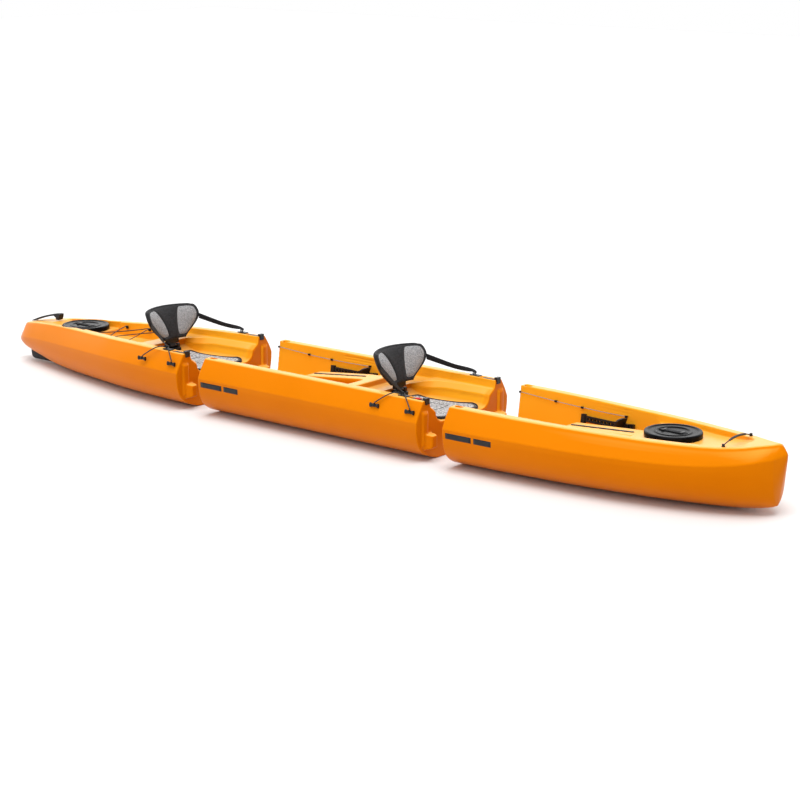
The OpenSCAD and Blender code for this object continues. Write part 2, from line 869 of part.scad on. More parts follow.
// One zigzag of the bungee, starting on the given side, lifted over the other where they cross
module bungee_run(first, lift) {
    p = bungee_posts;
    z = deck_z + 2;
    points = [
        for (i = [0 : 1], k = [0 : 5])
            let (t = k / 6, side = first * (i == 0 ? 1 : -1))
            [p[i][0] * (1 - t) + p[i + 1][0] * t,
             side * (p[i][1] * (1 - t) - p[i + 1][1] * t),
             z + lift * sin(180 * t)],
        [p[2][0], first * p[2][1], z],
    ];
    cord_tube(points, 2.5, 8);
}

module bungee_net() {
    color("#141416")
        translate([stern_front, 0, 0]) {
            bungee_run(1, 4);
            bungee_run(-1, -4);
        }
}

module bungee_hooks() {
    color("#1c1c1e")
        translate([stern_front, 0, 0])
            for (p = bungee_posts, side = [-1, 1])
                on_side(side)
                    translate([p[0], p[1] + 6.8, deck_z - 6])
                        cube([16, 8.4, 16], center = true);
}

module drain_plug() {
    color("#1c1c1e")
        translate([mid_rear, 0, plug_z])
            rotate([0, 90, 0]) {
                translate([0, 0, -3])
                    cylinder(h = 3, r = plug_r + 5, $fn = round_fn);
                cylinder(h = 12, r = plug_r, $fn = round_fn);
            }
}

mid_hull();
bow_hull();
stern_hull();
console_strip(mid_rear, mid_console_z, mid_console_rise);  // mid_console_strip
console_strip(bow_rear, bow_console_z, bow_console_rise);  // bow_console_strip
rail(mid_rear, mid_stations, 1);  // mid_rail_port
rail(mid_rear, mid_stations, -1);  // mid_rail_stbd
rail(bow_rear, bow_stations, 1);  // bow_rail_port
rail(bow_rear, bow_stations, -1);  // bow_rail_stbd
pedal(mid_rear, mid_stations, 1);  // mid_pedal_port
pedal(mid_rear, mid_stations, -1);  // mid_pedal_stbd
pedal(bow_rear, bow_stations, 1);  // bow_pedal_port
pedal(bow_rear, bow_stations, -1);  // bow_pedal_stbd
steering_line(mid_rear, mid_stations, 1);  // mid_line_port
steering_line(mid_rear, mid_stations, -1);  // mid_line_stbd
steering_line(bow_rear, bow_stations, 1);  // bow_line_port
steering_line(bow_rear, bow_stations, -1);  // bow_line_stbd
line_eyes(mid_rear, mid_stations);  // mid_line_eyes
line_eyes(bow_rear, bow_stations);  // bow_line_eyes
line_beads(mid_rear, mid_stations);  // mid_line_beads
line_beads(bow_rear, bow_stations);  // bow_line_beads
seat_pad(mid_front);  // mid_seat_pad
seat_pad(stern_front);  // stern_seat_pad
back_base(mid_front);  // mid_back_base
back_base(stern_front);  // stern_back_base
backrest(mid_front);  // mid_backrest
backrest(stern_front);  // stern_backrest
rim_plate(mid_front, 1);  // mid_rim_plate_port
rim_plate(mid_front, -1);  // mid_rim_plate_stbd
rim_plate(stern_front, 1);  // stern_rim_plate_port
rim_plate(stern_front, -1);  // stern_rim_plate_stbd
latch(mid_front, 1);  // mid_latch_port
latch(mid_front, -1);  // mid_latch_stbd
latch(stern_front, 1);  // stern_latch_port
latch(stern_front, -1);  // stern_latch_stbd
back_strap(mid_front, 1);  // mid_back_strap_port
back_strap(mid_front, -1);  // mid_back_strap_stbd
back_strap(stern_front, 1);  // stern_back_strap_port
back_strap(stern_front, -1);  // stern_back_strap_stbd
toggle_cord(mid_front, cord_fore);  // mid_cord_fore
toggle_cord(mid_front, cord_aft);  // mid_cord_aft
toggle_cord(stern_front, cord_fore);  // stern_cord_fore
toggle_cord(stern_front, cord_aft);  // stern_cord_aft
toggle(mid_front, cord_fore);  // mid_toggle_fore
toggle(mid_front, cord_aft);  // mid_toggle_aft
toggle(stern_front, cord_fore);  // stern_toggle_fore
toggle(stern_front, cord_aft);  // stern_toggle_aft
hatch_ring(bow_rear, bow_hatch);  // bow_hatch_ring
hatch_ring(stern_front, stern_hatch);  // stern_hatch_ring
hatch_lid(bow_rear, bow_hatch);  // bow_hatch_lid
hatch_lid(stern_front, stern_hatch);  // stern_hatch_lid
bow_handle();
bow_handle_eyes();
stern_handle();
rudder_blade();
rudder_tube();
bungee_net();
bungee_hooks();
drain_plug();  // mid_drain_plug
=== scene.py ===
"""The looks of the sit-on-top kayak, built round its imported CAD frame."""
import math

import bmesh
import bpy
import numpy as np
from mathutils import Matrix, Vector


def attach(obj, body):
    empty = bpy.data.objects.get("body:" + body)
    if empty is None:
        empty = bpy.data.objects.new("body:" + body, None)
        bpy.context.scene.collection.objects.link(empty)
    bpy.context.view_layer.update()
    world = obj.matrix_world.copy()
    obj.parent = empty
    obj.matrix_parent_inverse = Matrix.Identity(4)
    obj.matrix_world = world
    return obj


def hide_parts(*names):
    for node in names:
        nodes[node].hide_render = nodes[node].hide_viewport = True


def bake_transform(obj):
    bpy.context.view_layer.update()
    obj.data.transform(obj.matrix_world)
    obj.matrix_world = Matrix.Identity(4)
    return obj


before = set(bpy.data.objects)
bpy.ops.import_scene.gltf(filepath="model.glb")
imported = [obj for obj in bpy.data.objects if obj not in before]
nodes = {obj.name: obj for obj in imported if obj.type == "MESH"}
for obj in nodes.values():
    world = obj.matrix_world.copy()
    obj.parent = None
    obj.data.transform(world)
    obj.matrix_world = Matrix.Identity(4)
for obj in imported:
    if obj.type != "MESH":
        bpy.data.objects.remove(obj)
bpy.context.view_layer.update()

# ---------- Driving dimensions, in metres, as in the CAD ----------

MID_LEN = 1.460
BOW_LEN = 1.627
STERN_LEN = 1.662
GAP = 0.155
MID_X = (STERN_LEN - BOW_LEN) / 2
MID_FRONT = MID_X + MID_LEN / 2
MID_REAR = MID_X - MID_LEN / 2
BOW_REAR = MID_FRONT + GAP
STERN_FRONT = MID_REAR - GAP

CHINE_Y, CHINE_Z = 0.371, 0.205
RIM_Y, RIM_Z, RIM_W = 0.320, 0.303, 0.054
DECK_Z, FOOT_Z, SEAT_Z = 0.262, 0.120, 0.176
CONSOLE_Y = 0.066
MID_CONSOLE = (0.239, 0.105)
BOW_CONSOLE = (0.233, 0.063)
STRIP_X, STRIP_L = 0.492, 0.338
LEG_FLOOR = [(-0.02, FOOT_Z), (0.35, FOOT_Z), (0.76, FOOT_Z), (0.83, FOOT_Z + 0.03), (0.87, DECK_Z)]
MID_DECK = [(0.84, 0.276), (0.925, 0.276), (0.94, 0.250), (1.04, 0.252), (1.10, DECK_Z),
            (MID_LEN + 0.02, DECK_Z)]
# The seat pan: x from the front face, top half width, top height, floor half width and height, corner radius
PAN = [
    (-0.420, 0.128, DECK_Z, 0.112, 0.232, 0.014),
    (-0.374, 0.176, DECK_Z, 0.140, 0.200, 0.034),
    (-0.330, 0.212, DECK_Z, 0.172, 0.182, 0.050),
    (-0.250, 0.232, DECK_Z, 0.196, SEAT_Z + 0.001, 0.060),
    (-0.160, 0.240, DECK_Z, 0.204, SEAT_Z, 0.060),
    (-0.060, 0.244, DECK_Z, 0.206, SEAT_Z + 0.002, 0.060),
    (-0.030, 0.240, DECK_Z, 0.202, SEAT_Z + 0.002, 0.060),
    (0.004, 0.260, DECK_Z, 0.218, SEAT_Z + 0.002, 0.052),
    (0.020, 0.260, DECK_Z, 0.218, SEAT_Z + 0.002, 0.052),
]
# A latch's recess in a rim: start behind the front face, inner and outer half width, floor
RECESS = (-0.108, 0.274, 0.300, 0.289)
# The flutes in a footwell's wall: their heights, and where they start and end
WALL_FLUTES = (0.284, 0.271)
FLUTE_SPAN = (0.44, 0.70)
BOW_DECK = [(0.93, 0.268), (0.97, 0.272), (1.19, 0.272), (1.30, 0.278), (1.40, 0.296), (1.44, 0.312)]
TANK_FLOOR = [(-0.970, 0.240), (-0.930, 0.205), (-0.600, 0.196), (-0.560, 0.214), (-0.520, DECK_Z)]
WALL_LEAN = 0.020
LID_R, HATCH_R = 0.135, 0.104
HATCH_BOTTOM = 0.03
BOW_HATCH = (1.045, 0.272)
STERN_HATCH = (-1.105, 0.240)
VOXEL, PASSES = ((0.0038, 2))

# [x, flat bottom half width, keel z, chine half width, chine z, rim half width, rim z]
MID_STATIONS = [
    (0, 0.200, 0, CHINE_Y, CHINE_Z, RIM_Y, RIM_Z),
    (MID_LEN, 0.200, 0, CHINE_Y, CHINE_Z, RIM_Y, RIM_Z),
]
BOW_STATIONS = [
    (0, 0.200, 0, CHINE_Y, CHINE_Z, RIM_Y, RIM_Z),
    (0.250, 0.188, 0, 0.368, 0.206, 0.315, 0.302),
    (0.515, 0.164, 0, 0.358, 0.208, 0.300, 0.300),
    (0.785, 0.132, 0.001, 0.338, 0.211, 0.276, 0.299),
    (1.015, 0.100, 0.003, 0.305, 0.216, 0.246, 0.299),
    (1.200, 0.072, 0.006, 0.262, 0.221, 0.208, 0.300),
    (1.355, 0.048, 0.011, 0.212, 0.231, 0.162, 0.304),
    (1.455, 0.030, 0.018, 0.168, 0.243, 0.112, 0.311),
    (1.525, 0.016, 0.028, 0.124, 0.256, 0.062, 0.321),
    (1.570, 0.008, 0.038, 0.086, 0.266, 0.032, 0.328),
    (1.593, 0.004, 0.050, 0.060, 0.271, 0.012, 0.332),
    (1.600, 0.003, 0.097, 0.048, 0.274, 0.010, 0.327),
    (1.615, 0.002, 0.190, 0.026, 0.279, 0.008, 0.308),
    (BOW_LEN, 0.001, 0.262, 0.006, 0.280, 0.003, 0.290),
]
STERN_STATIONS = [
    (0, 0.200, 0, CHINE_Y, CHINE_Z, RIM_Y, RIM_Z),
    (-0.215, 0.190, 0, 0.362, 0.205, 0.304, 0.300),
    (-0.415, 0.175, 0, 0.344, 0.203, 0.283, 0.296),
    (-0.615, 0.150, 0, 0.312, 0.199, 0.257, 0.291),
    (-0.815, 0.118, 0, 0.270, 0.192, 0.216, 0.283),
    (-1.015, 0.084, 0.001, 0.225, 0.184, 0.172, 0.275),
    (-1.245, 0.050, 0.012, 0.168, 0.172, 0.126, 0.264),
    (-1.400, 0.032, 0.038, 0.128, 0.162, 0.094, 0.250),
    (-1.500, 0.020, 0.056, 0.100, 0.152, 0.070, 0.237),
    (-1.562, 0.012, 0.070, 0.078, 0.142, 0.048, 0.225),
    (-1.610, 0.006, 0.086, 0.052, 0.130, 0.026, 0.185),
    (-STERN_LEN, 0.001, 0.106, 0.012, 0.115, 0.004, 0.124),
]

# ---------- Node helpers ----------


def ramp(tree, source, stops):
    """Colour by level: each stop is a level and the colour there."""
    node = tree.nodes.new("ShaderNodeValToRGB")
    elements = node.color_ramp.elements
    while len(elements) < len(stops):
        elements.new(0.5)
    for element, (level, colour) in zip(elements, stops):
        element.position = level
        element.color = (*colour, 1)
    tree.links.new(source, node.inputs["Fac"])
    return node.outputs["Color"]


def grey_ramp(tree, source, *stops):
    return ramp(tree, source, [(level, (grey,) * 3) for level, grey in stops])


def coordinates(tree, kind):
    return tree.nodes.new("ShaderNodeTexCoord").outputs[kind]


def axes(tree, source):
    """The three numbers of a vector."""
    split = tree.nodes.new("ShaderNodeSeparateXYZ")
    tree.links.new(source, split.inputs[0])
    return split.outputs


# ---------- Camera, first, with the light and the floor ----------

CAMERA_PLACE = Vector((6.587, -7.719, 2.620))
CAMERA_YAW, CAMERA_PITCH, CAMERA_ROLL = math.radians(-38.95), math.radians(13.77), math.radians(0.35)
LENS_MM = 91.2
WALL_GLOW = 1.9
FLOOR_GREY = 0.74
# Each sun's name, direction, strength, and width in degrees
SUNS = (("key", (-0.10, 0.12, -1), 2.7, 50), ("fill", (0.05, 0.70, -0.55), 1.0, 60))


def add_camera():
    look = Vector((math.sin(CAMERA_YAW) * math.cos(CAMERA_PITCH),
                   math.cos(CAMERA_YAW) * math.cos(CAMERA_PITCH), -math.sin(CAMERA_PITCH)))
    right = Vector((math.cos(CAMERA_YAW), -math.sin(CAMERA_YAW), 0))
    up = right.cross(look)
    tilted_right = right * math.cos(CAMERA_ROLL) + up * math.sin(CAMERA_ROLL)
    tilted_up = up * math.cos(CAMERA_ROLL) - right * math.sin(CAMERA_ROLL)
    data = bpy.data.cameras.new("camera")
    data.lens = LENS_MM
    data.sensor_width = 36
    data.clip_end = 60
    camera = bpy.data.objects.new("camera", data)
    turn = Matrix((tilted_right, tilted_up, -look)).transposed()
    camera.matrix_world = Matrix.Translation(CAMERA_PLACE) @ turn.to_4x4()
    bpy.context.collection.objects.link(camera)
    bpy.context.scene.camera = camera


def add_world():
    """A studio: bright all round near the horizon, dim overhead, with a tall bright wall on the far side."""
    world = bpy.data.worlds.new("studio")
    bpy.context.scene.world = world
    world.use_nodes = True
    tree = world.node_tree
    background = tree.nodes["Background"]
    direction = coordinates(tree, "Generated")
    height = axes(tree, direction)["Z"]
    around = grey_ramp(tree, height, (0.10, 1.0), (0.22, 0.30))
    facing = tree.nodes.new("ShaderNodeVectorMath")
    facing.operation = "DOT_PRODUCT"
    facing.inputs[1].default_value = (-0.55, 0.83, 0)
    tree.links.new(direction, facing.inputs[0])
    side = grey_ramp(tree, facing.outputs["Value"], (0.15, 0.0), (0.60, 1.0))
    tall = grey_ramp(tree, height, (0.08, 0.0), (0.18, 1.0), (0.55, 1.0), (0.80, 0.0))
    wall = tree.nodes.new("ShaderNodeMix")
    wall.data_type = "RGBA"
    wall.blend_type = "MULTIPLY"
    wall.inputs["Factor"].default_value = 1.0
    tree.links.new(side, wall.inputs["A"])
    tree.links.new(tall, wall.inputs["B"])
    tree.links.new(around, background.inputs["Color"])
    glow = tree.nodes.new("ShaderNodeBackground")
    glow.inputs["Strength"].default_value = WALL_GLOW
    tree.links.new(wall.outputs["Result"], glow.inputs["Color"])
    both = tree.nodes.new("ShaderNodeAddShader")
    tree.links.new(background.outputs[0], both.inputs[0])
    tree.links.new(glow.outputs[0], both.inputs[1])
    tree.links.new(both.outputs[0], tree.nodes["World Output"].inputs["Surface"])


def add_sun(name, direction, strength, softness):
    data = bpy.data.lights.new(name, "SUN")
    data.energy = strength
    data.angle = math.radians(softness)
    light = bpy.data.objects.new(name, data)
    light.rotation_euler = Vector(direction).to_track_quat("-Z", "Y").to_euler()
    bpy.context.collection.objects.link(light)


def add_studio():
    bpy.context.scene.view_settings.view_transform = "Standard"
    add_world()
    for sun in SUNS:
        add_sun(*sun)
    bpy.ops.mesh.primitive_plane_add(size=60, location=(0, 0, -0.0005))
    floor = bpy.context.object
    floor.name = "studio_floor"
    material = bpy.data.materials.new("floor_white")
    material.use_nodes = True
    shader = material.node_tree.nodes["Principled BSDF"]
    shader.inputs["Base Color"].default_value = (FLOOR_GREY, FLOOR_GREY, FLOOR_GREY, 1)
    shader.inputs["Roughness"].default_value = 0.9
    shader.inputs["Specular IOR Level"].default_value = 0.1
    floor.data.materials.append(material)


add_camera()
add_studio()

# ---------- Mesh helpers ----------


def new_object(name, verts, faces):
    mesh = bpy.data.meshes.new(name)
    mesh.from_pydata([tuple(v) for v in verts], [], [tuple(f) for f in faces])
    mesh.validate()
    obj = bpy.data.objects.new(name, mesh)
    bpy.context.collection.objects.link(obj)
    return obj


def apply_modifiers(obj):
    graph = bpy.context.evaluated_depsgraph_get()
    mesh = bpy.data.meshes.new_from_object(obj.evaluated_get(graph))
    old = obj.data
    obj.modifiers.clear()
    obj.data = mesh
    mesh.name = obj.name
    bpy.data.meshes.remove(old)


def fix_normals(obj):
    bm = bmesh.new()
    bm.from_mesh(obj.data)
    bmesh.ops.recalc_face_normals(bm, faces=bm.faces)
    bm.to_mesh(obj.data)
    bm.free()


def loft(name, rings):
    """A closed solid through rings of equal length."""
    count = len(rings[0])
    verts = [p for ring in rings for p in ring]
    faces = [tuple(range(count))]
    for i in range(len(rings) - 1):
        for k in range(count):
            a, b = i * count + k, i * count + (k + 1) % count
            faces.append((a, b, b + count, a + count))
    faces.append(tuple(reversed(range((len(rings) - 1) * count, len(rings) * count))))
    obj = new_object(name, verts, faces)
    fix_normals(obj)
    return obj


def box(name, low, high):
    xs, ys, zs = zip(low, high)
    verts = [(x, y, z) for x in xs for y in ys for z in zs]
    faces = [(0, 1, 3, 2), (4, 6, 7, 5), (0, 4, 5, 1), (2, 3, 7, 6), (0, 2, 6, 4), (1, 5, 7, 3)]
    obj = new_object(name, verts, faces)
    fix_normals(obj)
    return obj


def circle(count):
    return np.linspace(0, 2 * math.pi, count, endpoint=False)


def disc(name, x, radius, low, high=0.40, count=64):
    """An upright cylinder on the centreline."""
    outline = [(x + radius * math.cos(t), radius * math.sin(t)) for t in circle(count)]
    return loft(name, [[(px, py, z) for px, py in outline] for z in (low, high)])


def boolean(obj, operation, tools):
    for tool in tools:
        modifier = obj.modifiers.new("boolean", "BOOLEAN")
        modifier.operation = operation
        modifier.solver = "MANIFOLD"
        modifier.object = tool
        apply_modifiers(obj)
        bpy.data.objects.remove(tool, do_unlink=True)


def cut(obj, *tools):
    boolean(obj, "DIFFERENCE", tools)


def unite(obj, *tools):
    boolean(obj, "UNION", tools)


def rounded(obj, voxel, passes):
    """Voxel remesh and smooth: the soft edges of a moulding."""
    remesh = obj.modifiers.new("remesh", "REMESH")
    remesh.mode = "VOXEL"
    remesh.voxel_size = voxel
    remesh.use_smooth_shade = True
    smooth = obj.modifiers.new("smooth", "SMOOTH")
    smooth.factor = 0.5
    smooth.iterations = passes
    apply_modifiers(obj)


# ---------- Hull shape ----------


def monotone(xs, ys, x):
    """Monotone cubic interpolation: smooth between stations, with no overshoot."""
    xs, ys = np.asarray(xs, float), np.asarray(ys, float)
    step = np.diff(xs)
    slope = np.diff(ys) / step
    tangent = np.zeros(len(xs))
    tangent[0], tangent[-1] = slope[0], slope[-1]
    for i in range(1, len(xs) - 1):
        if slope[i - 1] * slope[i] > 0:
            w1, w2 = 2 * step[i] + step[i - 1], step[i] + 2 * step[i - 1]
            tangent[i] = (w1 + w2) / (w1 / slope[i - 1] + w2 / slope[i])
    i = np.clip(np.searchsorted(xs, x) - 1, 0, len(xs) - 2)
    t = (x - xs[i]) / step[i]
    return ((1 + 2 * t) * (1 - t) ** 2 * ys[i] + t * (1 - t) ** 2 * step[i] * tangent[i]
            + t * t * (3 - 2 * t) * ys[i + 1] + t * t * (t - 1) * step[i] * tangent[i + 1])


def station_at(stations, x):
    """The hull station at x, in between the listed ones."""
    rows = sorted(stations)
    xs = [row[0] for row in rows]
    x = min(max(x, xs[0]), xs[-1])
    return [x] + [float(monotone(xs, [row[i] for row in rows], x)) for i in range(1, 7)]


def cubic(a, b, c, d, t):
    return a * (1 - t) ** 3 + 3 * b * t * (1 - t) ** 2 + 3 * c * t * t * (1 - t) + d * t ** 3


def half_outline(station, steps=16):
    """The hull's half outline: up the bilge to the chine, and in over the rim."""
    _, flat, keel, chine, chine_z, rim, rim_z = station
    points = []
    for t in np.linspace(0, 1, steps):
        y = cubic(flat, flat + 0.76 * (chine - flat), chine, chine, t)
        z = cubic(keel, keel + 0.15 * (chine_z - keel), keel + 0.34 * (chine_z - keel), chine_z, t)
        points.append((y, z))
    edge = min(0.012, rim * 0.8)
    top = (rim + edge * 0.3, rim_z - edge)
    for t in (0.2, 0.4, 0.6, 0.8):
        y = chine + (top[0] - chine) * t + 0.003 * math.sin(math.pi * t)
        points.append((y, chine_z + (top[1] - chine_z) * t))
    return points + [top, (rim - edge * 0.2, rim_z - edge * 0.25), (rim - edge, rim_z)]


def ring_at(x, half):
    return [(x, y, z) for y, z in half] + [(x, -y, z) for y, z in reversed(half)]


def hull_loft(name, stations, origin, count):
    first, last = stations[0][0], stations[-1][0]
    even = list(np.linspace(first, last, count))
    xs = sorted(set(even + [row[0] for row in stations]), reverse=last < first)
    return loft(name, [ring_at(origin + x, half_outline(station_at(stations, x))) for x in xs])


def rim_in(stations, x):
    """Half width between the gunwales' inner walls."""
    return station_at(stations, x)[5] - RIM_W


def trough(name, origin, rows):
    """The space over rows of (x, top half width, top z, floor half width, floor z, corner radius)."""
    rows = sorted(rows)
    xs = sorted(set(list(np.linspace(rows[0][0], rows[-1][0], 44)) + [row[0] for row in rows]))
    columns = list(zip(*rows))
    rings = []
    for x in xs:
        top, top_z, floor, floor_z, corner = [
            float(monotone(columns[0], column, x)) for column in columns[1:]]
        half = [(top, 0.42), (top, max(top_z, floor_z + corner))]
        for angle in np.linspace(0, math.pi / 2, 7):
            half.append((floor - corner + corner * math.cos(angle),
                         floor_z + corner - corner * math.sin(angle)))
        rings.append(ring_at(origin + x, half))
    return loft(name, rings)


def console(origin, height, rise):
    top = height + 0.36 * rise
    rows = [(0.345, FOOT_Z + 0.001), (0.39, FOOT_Z + 0.040), (0.45, height - 0.012), (0.48, height),
            (0.84, top), (0.90, max(top, DECK_Z))]
    rings = []
    for x, z in rows:
        half = [(CONSOLE_Y + 0.012, 0.06), (CONSOLE_Y, z - 0.014), (CONSOLE_Y - 0.003, z - 0.004),
                (CONSOLE_Y - 0.010, z)]
        rings.append(ring_at(origin + x, half))
    return loft("console", rings)


def leg_well(origin, stations, console_size):
    rows = [(x, rim_in(stations, x), RIM_Z - 0.006, rim_in(stations, x) - WALL_LEAN, z, 0.034)
            for x, z in LEG_FLOOR]
    well = trough("leg_well", origin, rows)
    cut(well, console(origin, *console_size))
    return well


def console_groove(origin, height, rise, radius=0.0075):
    base = height - 0.005 + rise * (STRIP_X - 0.48)
    end = base + rise * STRIP_L
    outline = []
    for angle in np.linspace(math.pi / 2, 3 * math.pi / 2, 9):
        outline.append((origin + STRIP_X + radius * math.cos(angle), radius * math.sin(angle), base))
    for angle in np.linspace(-math.pi / 2, math.pi / 2, 9):
        outline.append((origin + STRIP_X + STRIP_L + radius * math.cos(angle), radius * math.sin(angle), end))
    return loft("groove", [outline, [(x, y, 0.31) for x, y, _ in outline]])


def wall_groove(origin, stations, side, z):
    """A shallow moulded flute along the inner wall of a footwell."""
    rings = []
    for x in np.linspace(*FLUTE_SPAN, 8):
        y = wall_y(stations, x, z)
        edge = 0.2 if x in FLUTE_SPAN else 1.0
        rings.append([(origin + x, side * (y + edge * 0.0045 * math.cos(t)), z + edge * 0.0042 * math.sin(t))
                      for t in circle(12)])
    return loft("wall_groove", rings)


def wall_y(stations, x, z):
    """The half width of a footwell's inner wall at x and height z."""
    xs = [row[0] for row in LEG_FLOOR]
    top = np.interp(x, xs, [rim_in(stations, row) for row in xs])
    return float(top) - WALL_LEAN * (RIM_Z - 0.006 - z) / (RIM_Z - FOOT_Z - 0.040)


def latch_slot(origin, side):
    outline = []
    for centre, first in ((0.044, -90), (0.028, 90)):
        for angle in np.radians(np.linspace(first, first + 180, 9)):
            outline.append((origin + centre + 0.014 * math.cos(angle),
                            side * (RIM_Y - 0.037) + 0.014 * math.sin(angle)))
    return loft("slot", [[(x, y, z) for x, y in outline] for z in (RIM_Z - 0.014, RIM_Z + 0.03)])


def side_box(origin, side, x_span, y_span, z_span):
    """A box to port (side 1) or starboard (side -1), its x measured from the origin."""
    y0, y1 = sorted((side * y_span[0], side * y_span[1]))
    return box("side_box", (origin + x_span[0], y0, z_span[0]), (origin + x_span[1], y1, z_span[1]))


def latch_recess(origin, side):
    start, y0, y1, floor = RECESS
    return side_box(origin, side, (start, 0.022), (y0, y1), (floor, RIM_Z + 0.03))


def lug_pocket(origin, side):
    return side_box(origin, side, (-0.02, 0.056), (0.250, 0.320), (0.056, 0.146))


def ridge_pocket(origin, side):
    return side_box(origin, side, (-0.02, 0.016), (0.282, 0.331), (0.068, 0.262))


def lug(origin, side):
    rings = []
    for x, y0, y1, z0, z1 in ((-0.02, 0.256, 0.314, 0.062, 0.140), (0.0, 0.256, 0.314, 0.062, 0.140),
                              (0.028, 0.259, 0.311, 0.066, 0.138), (0.049, 0.268, 0.302, 0.076, 0.134)):
        rings.append([(origin + x, side * y, z) for y, z in ((y0, z0), (y1, z0), (y1, z1), (y0, z1))])
    return loft("lug", rings)


def ridge(origin, side):
    plan = [(-0.010, 0.285), (0.004, 0.2855), (0.009, 0.289), (0.011, 0.295), (0.011, 0.317), (0.009, 0.323),
            (0.004, 0.3265), (-0.010, 0.327)]
    rings = []
    for z, reach in ((0.073, 0.3), (0.083, 1.0), (0.240, 1.0), (0.250, 0.3)):
        rings.append([(origin + x * (reach if x > 0 else 1), side * y, z) for x, y in plan])
    return loft("ridge", rings)


def side_deck(origin, stations, start, end):
    xs = np.linspace(start, end, 6)
    return trough("side_deck", origin, [
        (x, rim_in(stations, x), RIM_Z - 0.008, rim_in(stations, x) - 0.006, DECK_Z, 0.008) for x in xs])


def cut_rear_end(hull, origin, stations, console_size):
    """What the rear face of the bow and the middle section has in common."""
    for side in (-1, 1):
        cut(hull, latch_slot(origin, side), lug_pocket(origin, side), ridge_pocket(origin, side))
        for z in WALL_FLUTES:
            cut(hull, wall_groove(origin, stations, side, z))
    cut(hull, console_groove(origin, *console_size))


def add_front_end(hull, origin):
    for side in (-1, 1):
        cut(hull, latch_recess(origin, side))
        unite(hull, lug(origin, side), ridge(origin, side))


def make_mid_hull():
    hull = hull_loft("mid_shell", MID_STATIONS, MID_REAR, 8)
    width = rim_in(MID_STATIONS, 0)
    deck = [(x, width, RIM_Z - 0.008, width - 0.006, z, 0.008) for x, z in MID_DECK]
    cut(hull, leg_well(MID_REAR, MID_STATIONS, MID_CONSOLE), trough("mid_deck", MID_REAR, deck),
        trough("pan", MID_FRONT, PAN))
    cut_rear_end(hull, MID_REAR, MID_STATIONS, MID_CONSOLE)
    add_front_end(hull, MID_FRONT)
    rounded(hull, VOXEL, PASSES)
    return hull


def make_bow_hull():
    hull = hull_loft("bow_shell", BOW_STATIONS, BOW_REAR, 90)
    cut(hull, leg_well(BOW_REAR, BOW_STATIONS, BOW_CONSOLE), side_deck(BOW_REAR, BOW_STATIONS, 0.84, 0.96))
    rows = []
    for x, z in BOW_DECK:
        width = max(0.040, rim_in(BOW_STATIONS, x))
        rows.append((x, width, max(0.296, z + 0.003), width - 0.004, z, 0.004))
    cut(hull, trough("fore_deck", BOW_REAR, rows),
        disc("hatch_hole", BOW_REAR + BOW_HATCH[0], HATCH_R, HATCH_BOTTOM))
    cut_rear_end(hull, BOW_REAR, BOW_STATIONS, BOW_CONSOLE)
    rounded(hull, VOXEL, PASSES)
    return hull


def make_stern_hull():
    hull = hull_loft("stern_shell", STERN_STATIONS, STERN_FRONT, 90)
    cut(hull, side_deck(STERN_FRONT, STERN_STATIONS, -0.56, 0.02), trough("pan", STERN_FRONT, PAN))
    tank = []
    for x, z in TANK_FLOOR:
        width = rim_in(STERN_STATIONS, x)
        tank.append((x, width, RIM_Z - 0.030, width - 0.014, z, 0.014))
    deck = []
    for x, z in ((-1.330, 0.262), (-1.250, STERN_HATCH[1]), (-0.960, STERN_HATCH[1])):
        width = rim_in(STERN_STATIONS, x) + 0.014
        deck.append((x, width, 0.262, width - 0.004, z, 0.004))
    hatch_x = STERN_FRONT + STERN_HATCH[0]
    cut(hull, trough("tank_well", STERN_FRONT, tank), trough("hatch_deck", STERN_FRONT, deck),
        disc("hatch_seat", hatch_x, LID_R + 0.003, STERN_HATCH[1]),
        disc("hatch_hole", hatch_x, HATCH_R, HATCH_BOTTOM))
    add_front_end(hull, STERN_FRONT)
    rounded(hull, VOXEL, PASSES)
    return hull


# ---------- Materials ----------


def shader_of(name, colour, roughness):
    material = bpy.data.materials.new(name)
    material.use_nodes = True
    shader = material.node_tree.nodes["Principled BSDF"]
    shader.inputs["Base Color"].default_value = (*colour, 1)
    shader.inputs["Roughness"].default_value = roughness
    return material, material.node_tree, shader


def noise(tree, scale, detail=4.0):
    node = tree.nodes.new("ShaderNodeTexNoise")
    node.inputs["Scale"].default_value = scale
    node.inputs["Detail"].default_value = detail
    tree.links.new(coordinates(tree, "Object"), node.inputs["Vector"])
    return node.outputs["Fac"]


def paint(tree, shader, colour):
    tree.links.new(colour, shader.inputs["Base Color"])


def bump(tree, shader, height, strength, distance):
    node = tree.nodes.new("ShaderNodeBump")
    node.inputs["Strength"].default_value = strength
    node.inputs["Distance"].default_value = distance
    tree.links.new(height, node.inputs["Height"])
    tree.links.new(node.outputs["Normal"], shader.inputs["Normal"])


def math_node(tree, operation, first, second=None):
    node = tree.nodes.new("ShaderNodeMath")
    node.operation = operation
    for socket, value in zip(node.inputs, (first, second)):
        if isinstance(value, (int, float)):
            socket.default_value = value
        elif value is not None:
            tree.links.new(value, socket)
    return node.outputs[0]


def mix(tree, factor, first, second):
    node = tree.nodes.new("ShaderNodeMix")
    node.data_type = "RGBA"
    for key, value in (("Factor_Float", factor), ("A_Color", first), ("B_Color", second)):
        socket = [s for s in node.inputs if s.identifier == key][0]
        if isinstance(value, tuple):
            socket.default_value = (*value, 1)
        else:
            tree.links.new(value, socket)
    return [s for s in node.outputs if s.identifier == "Result_Color"][0]


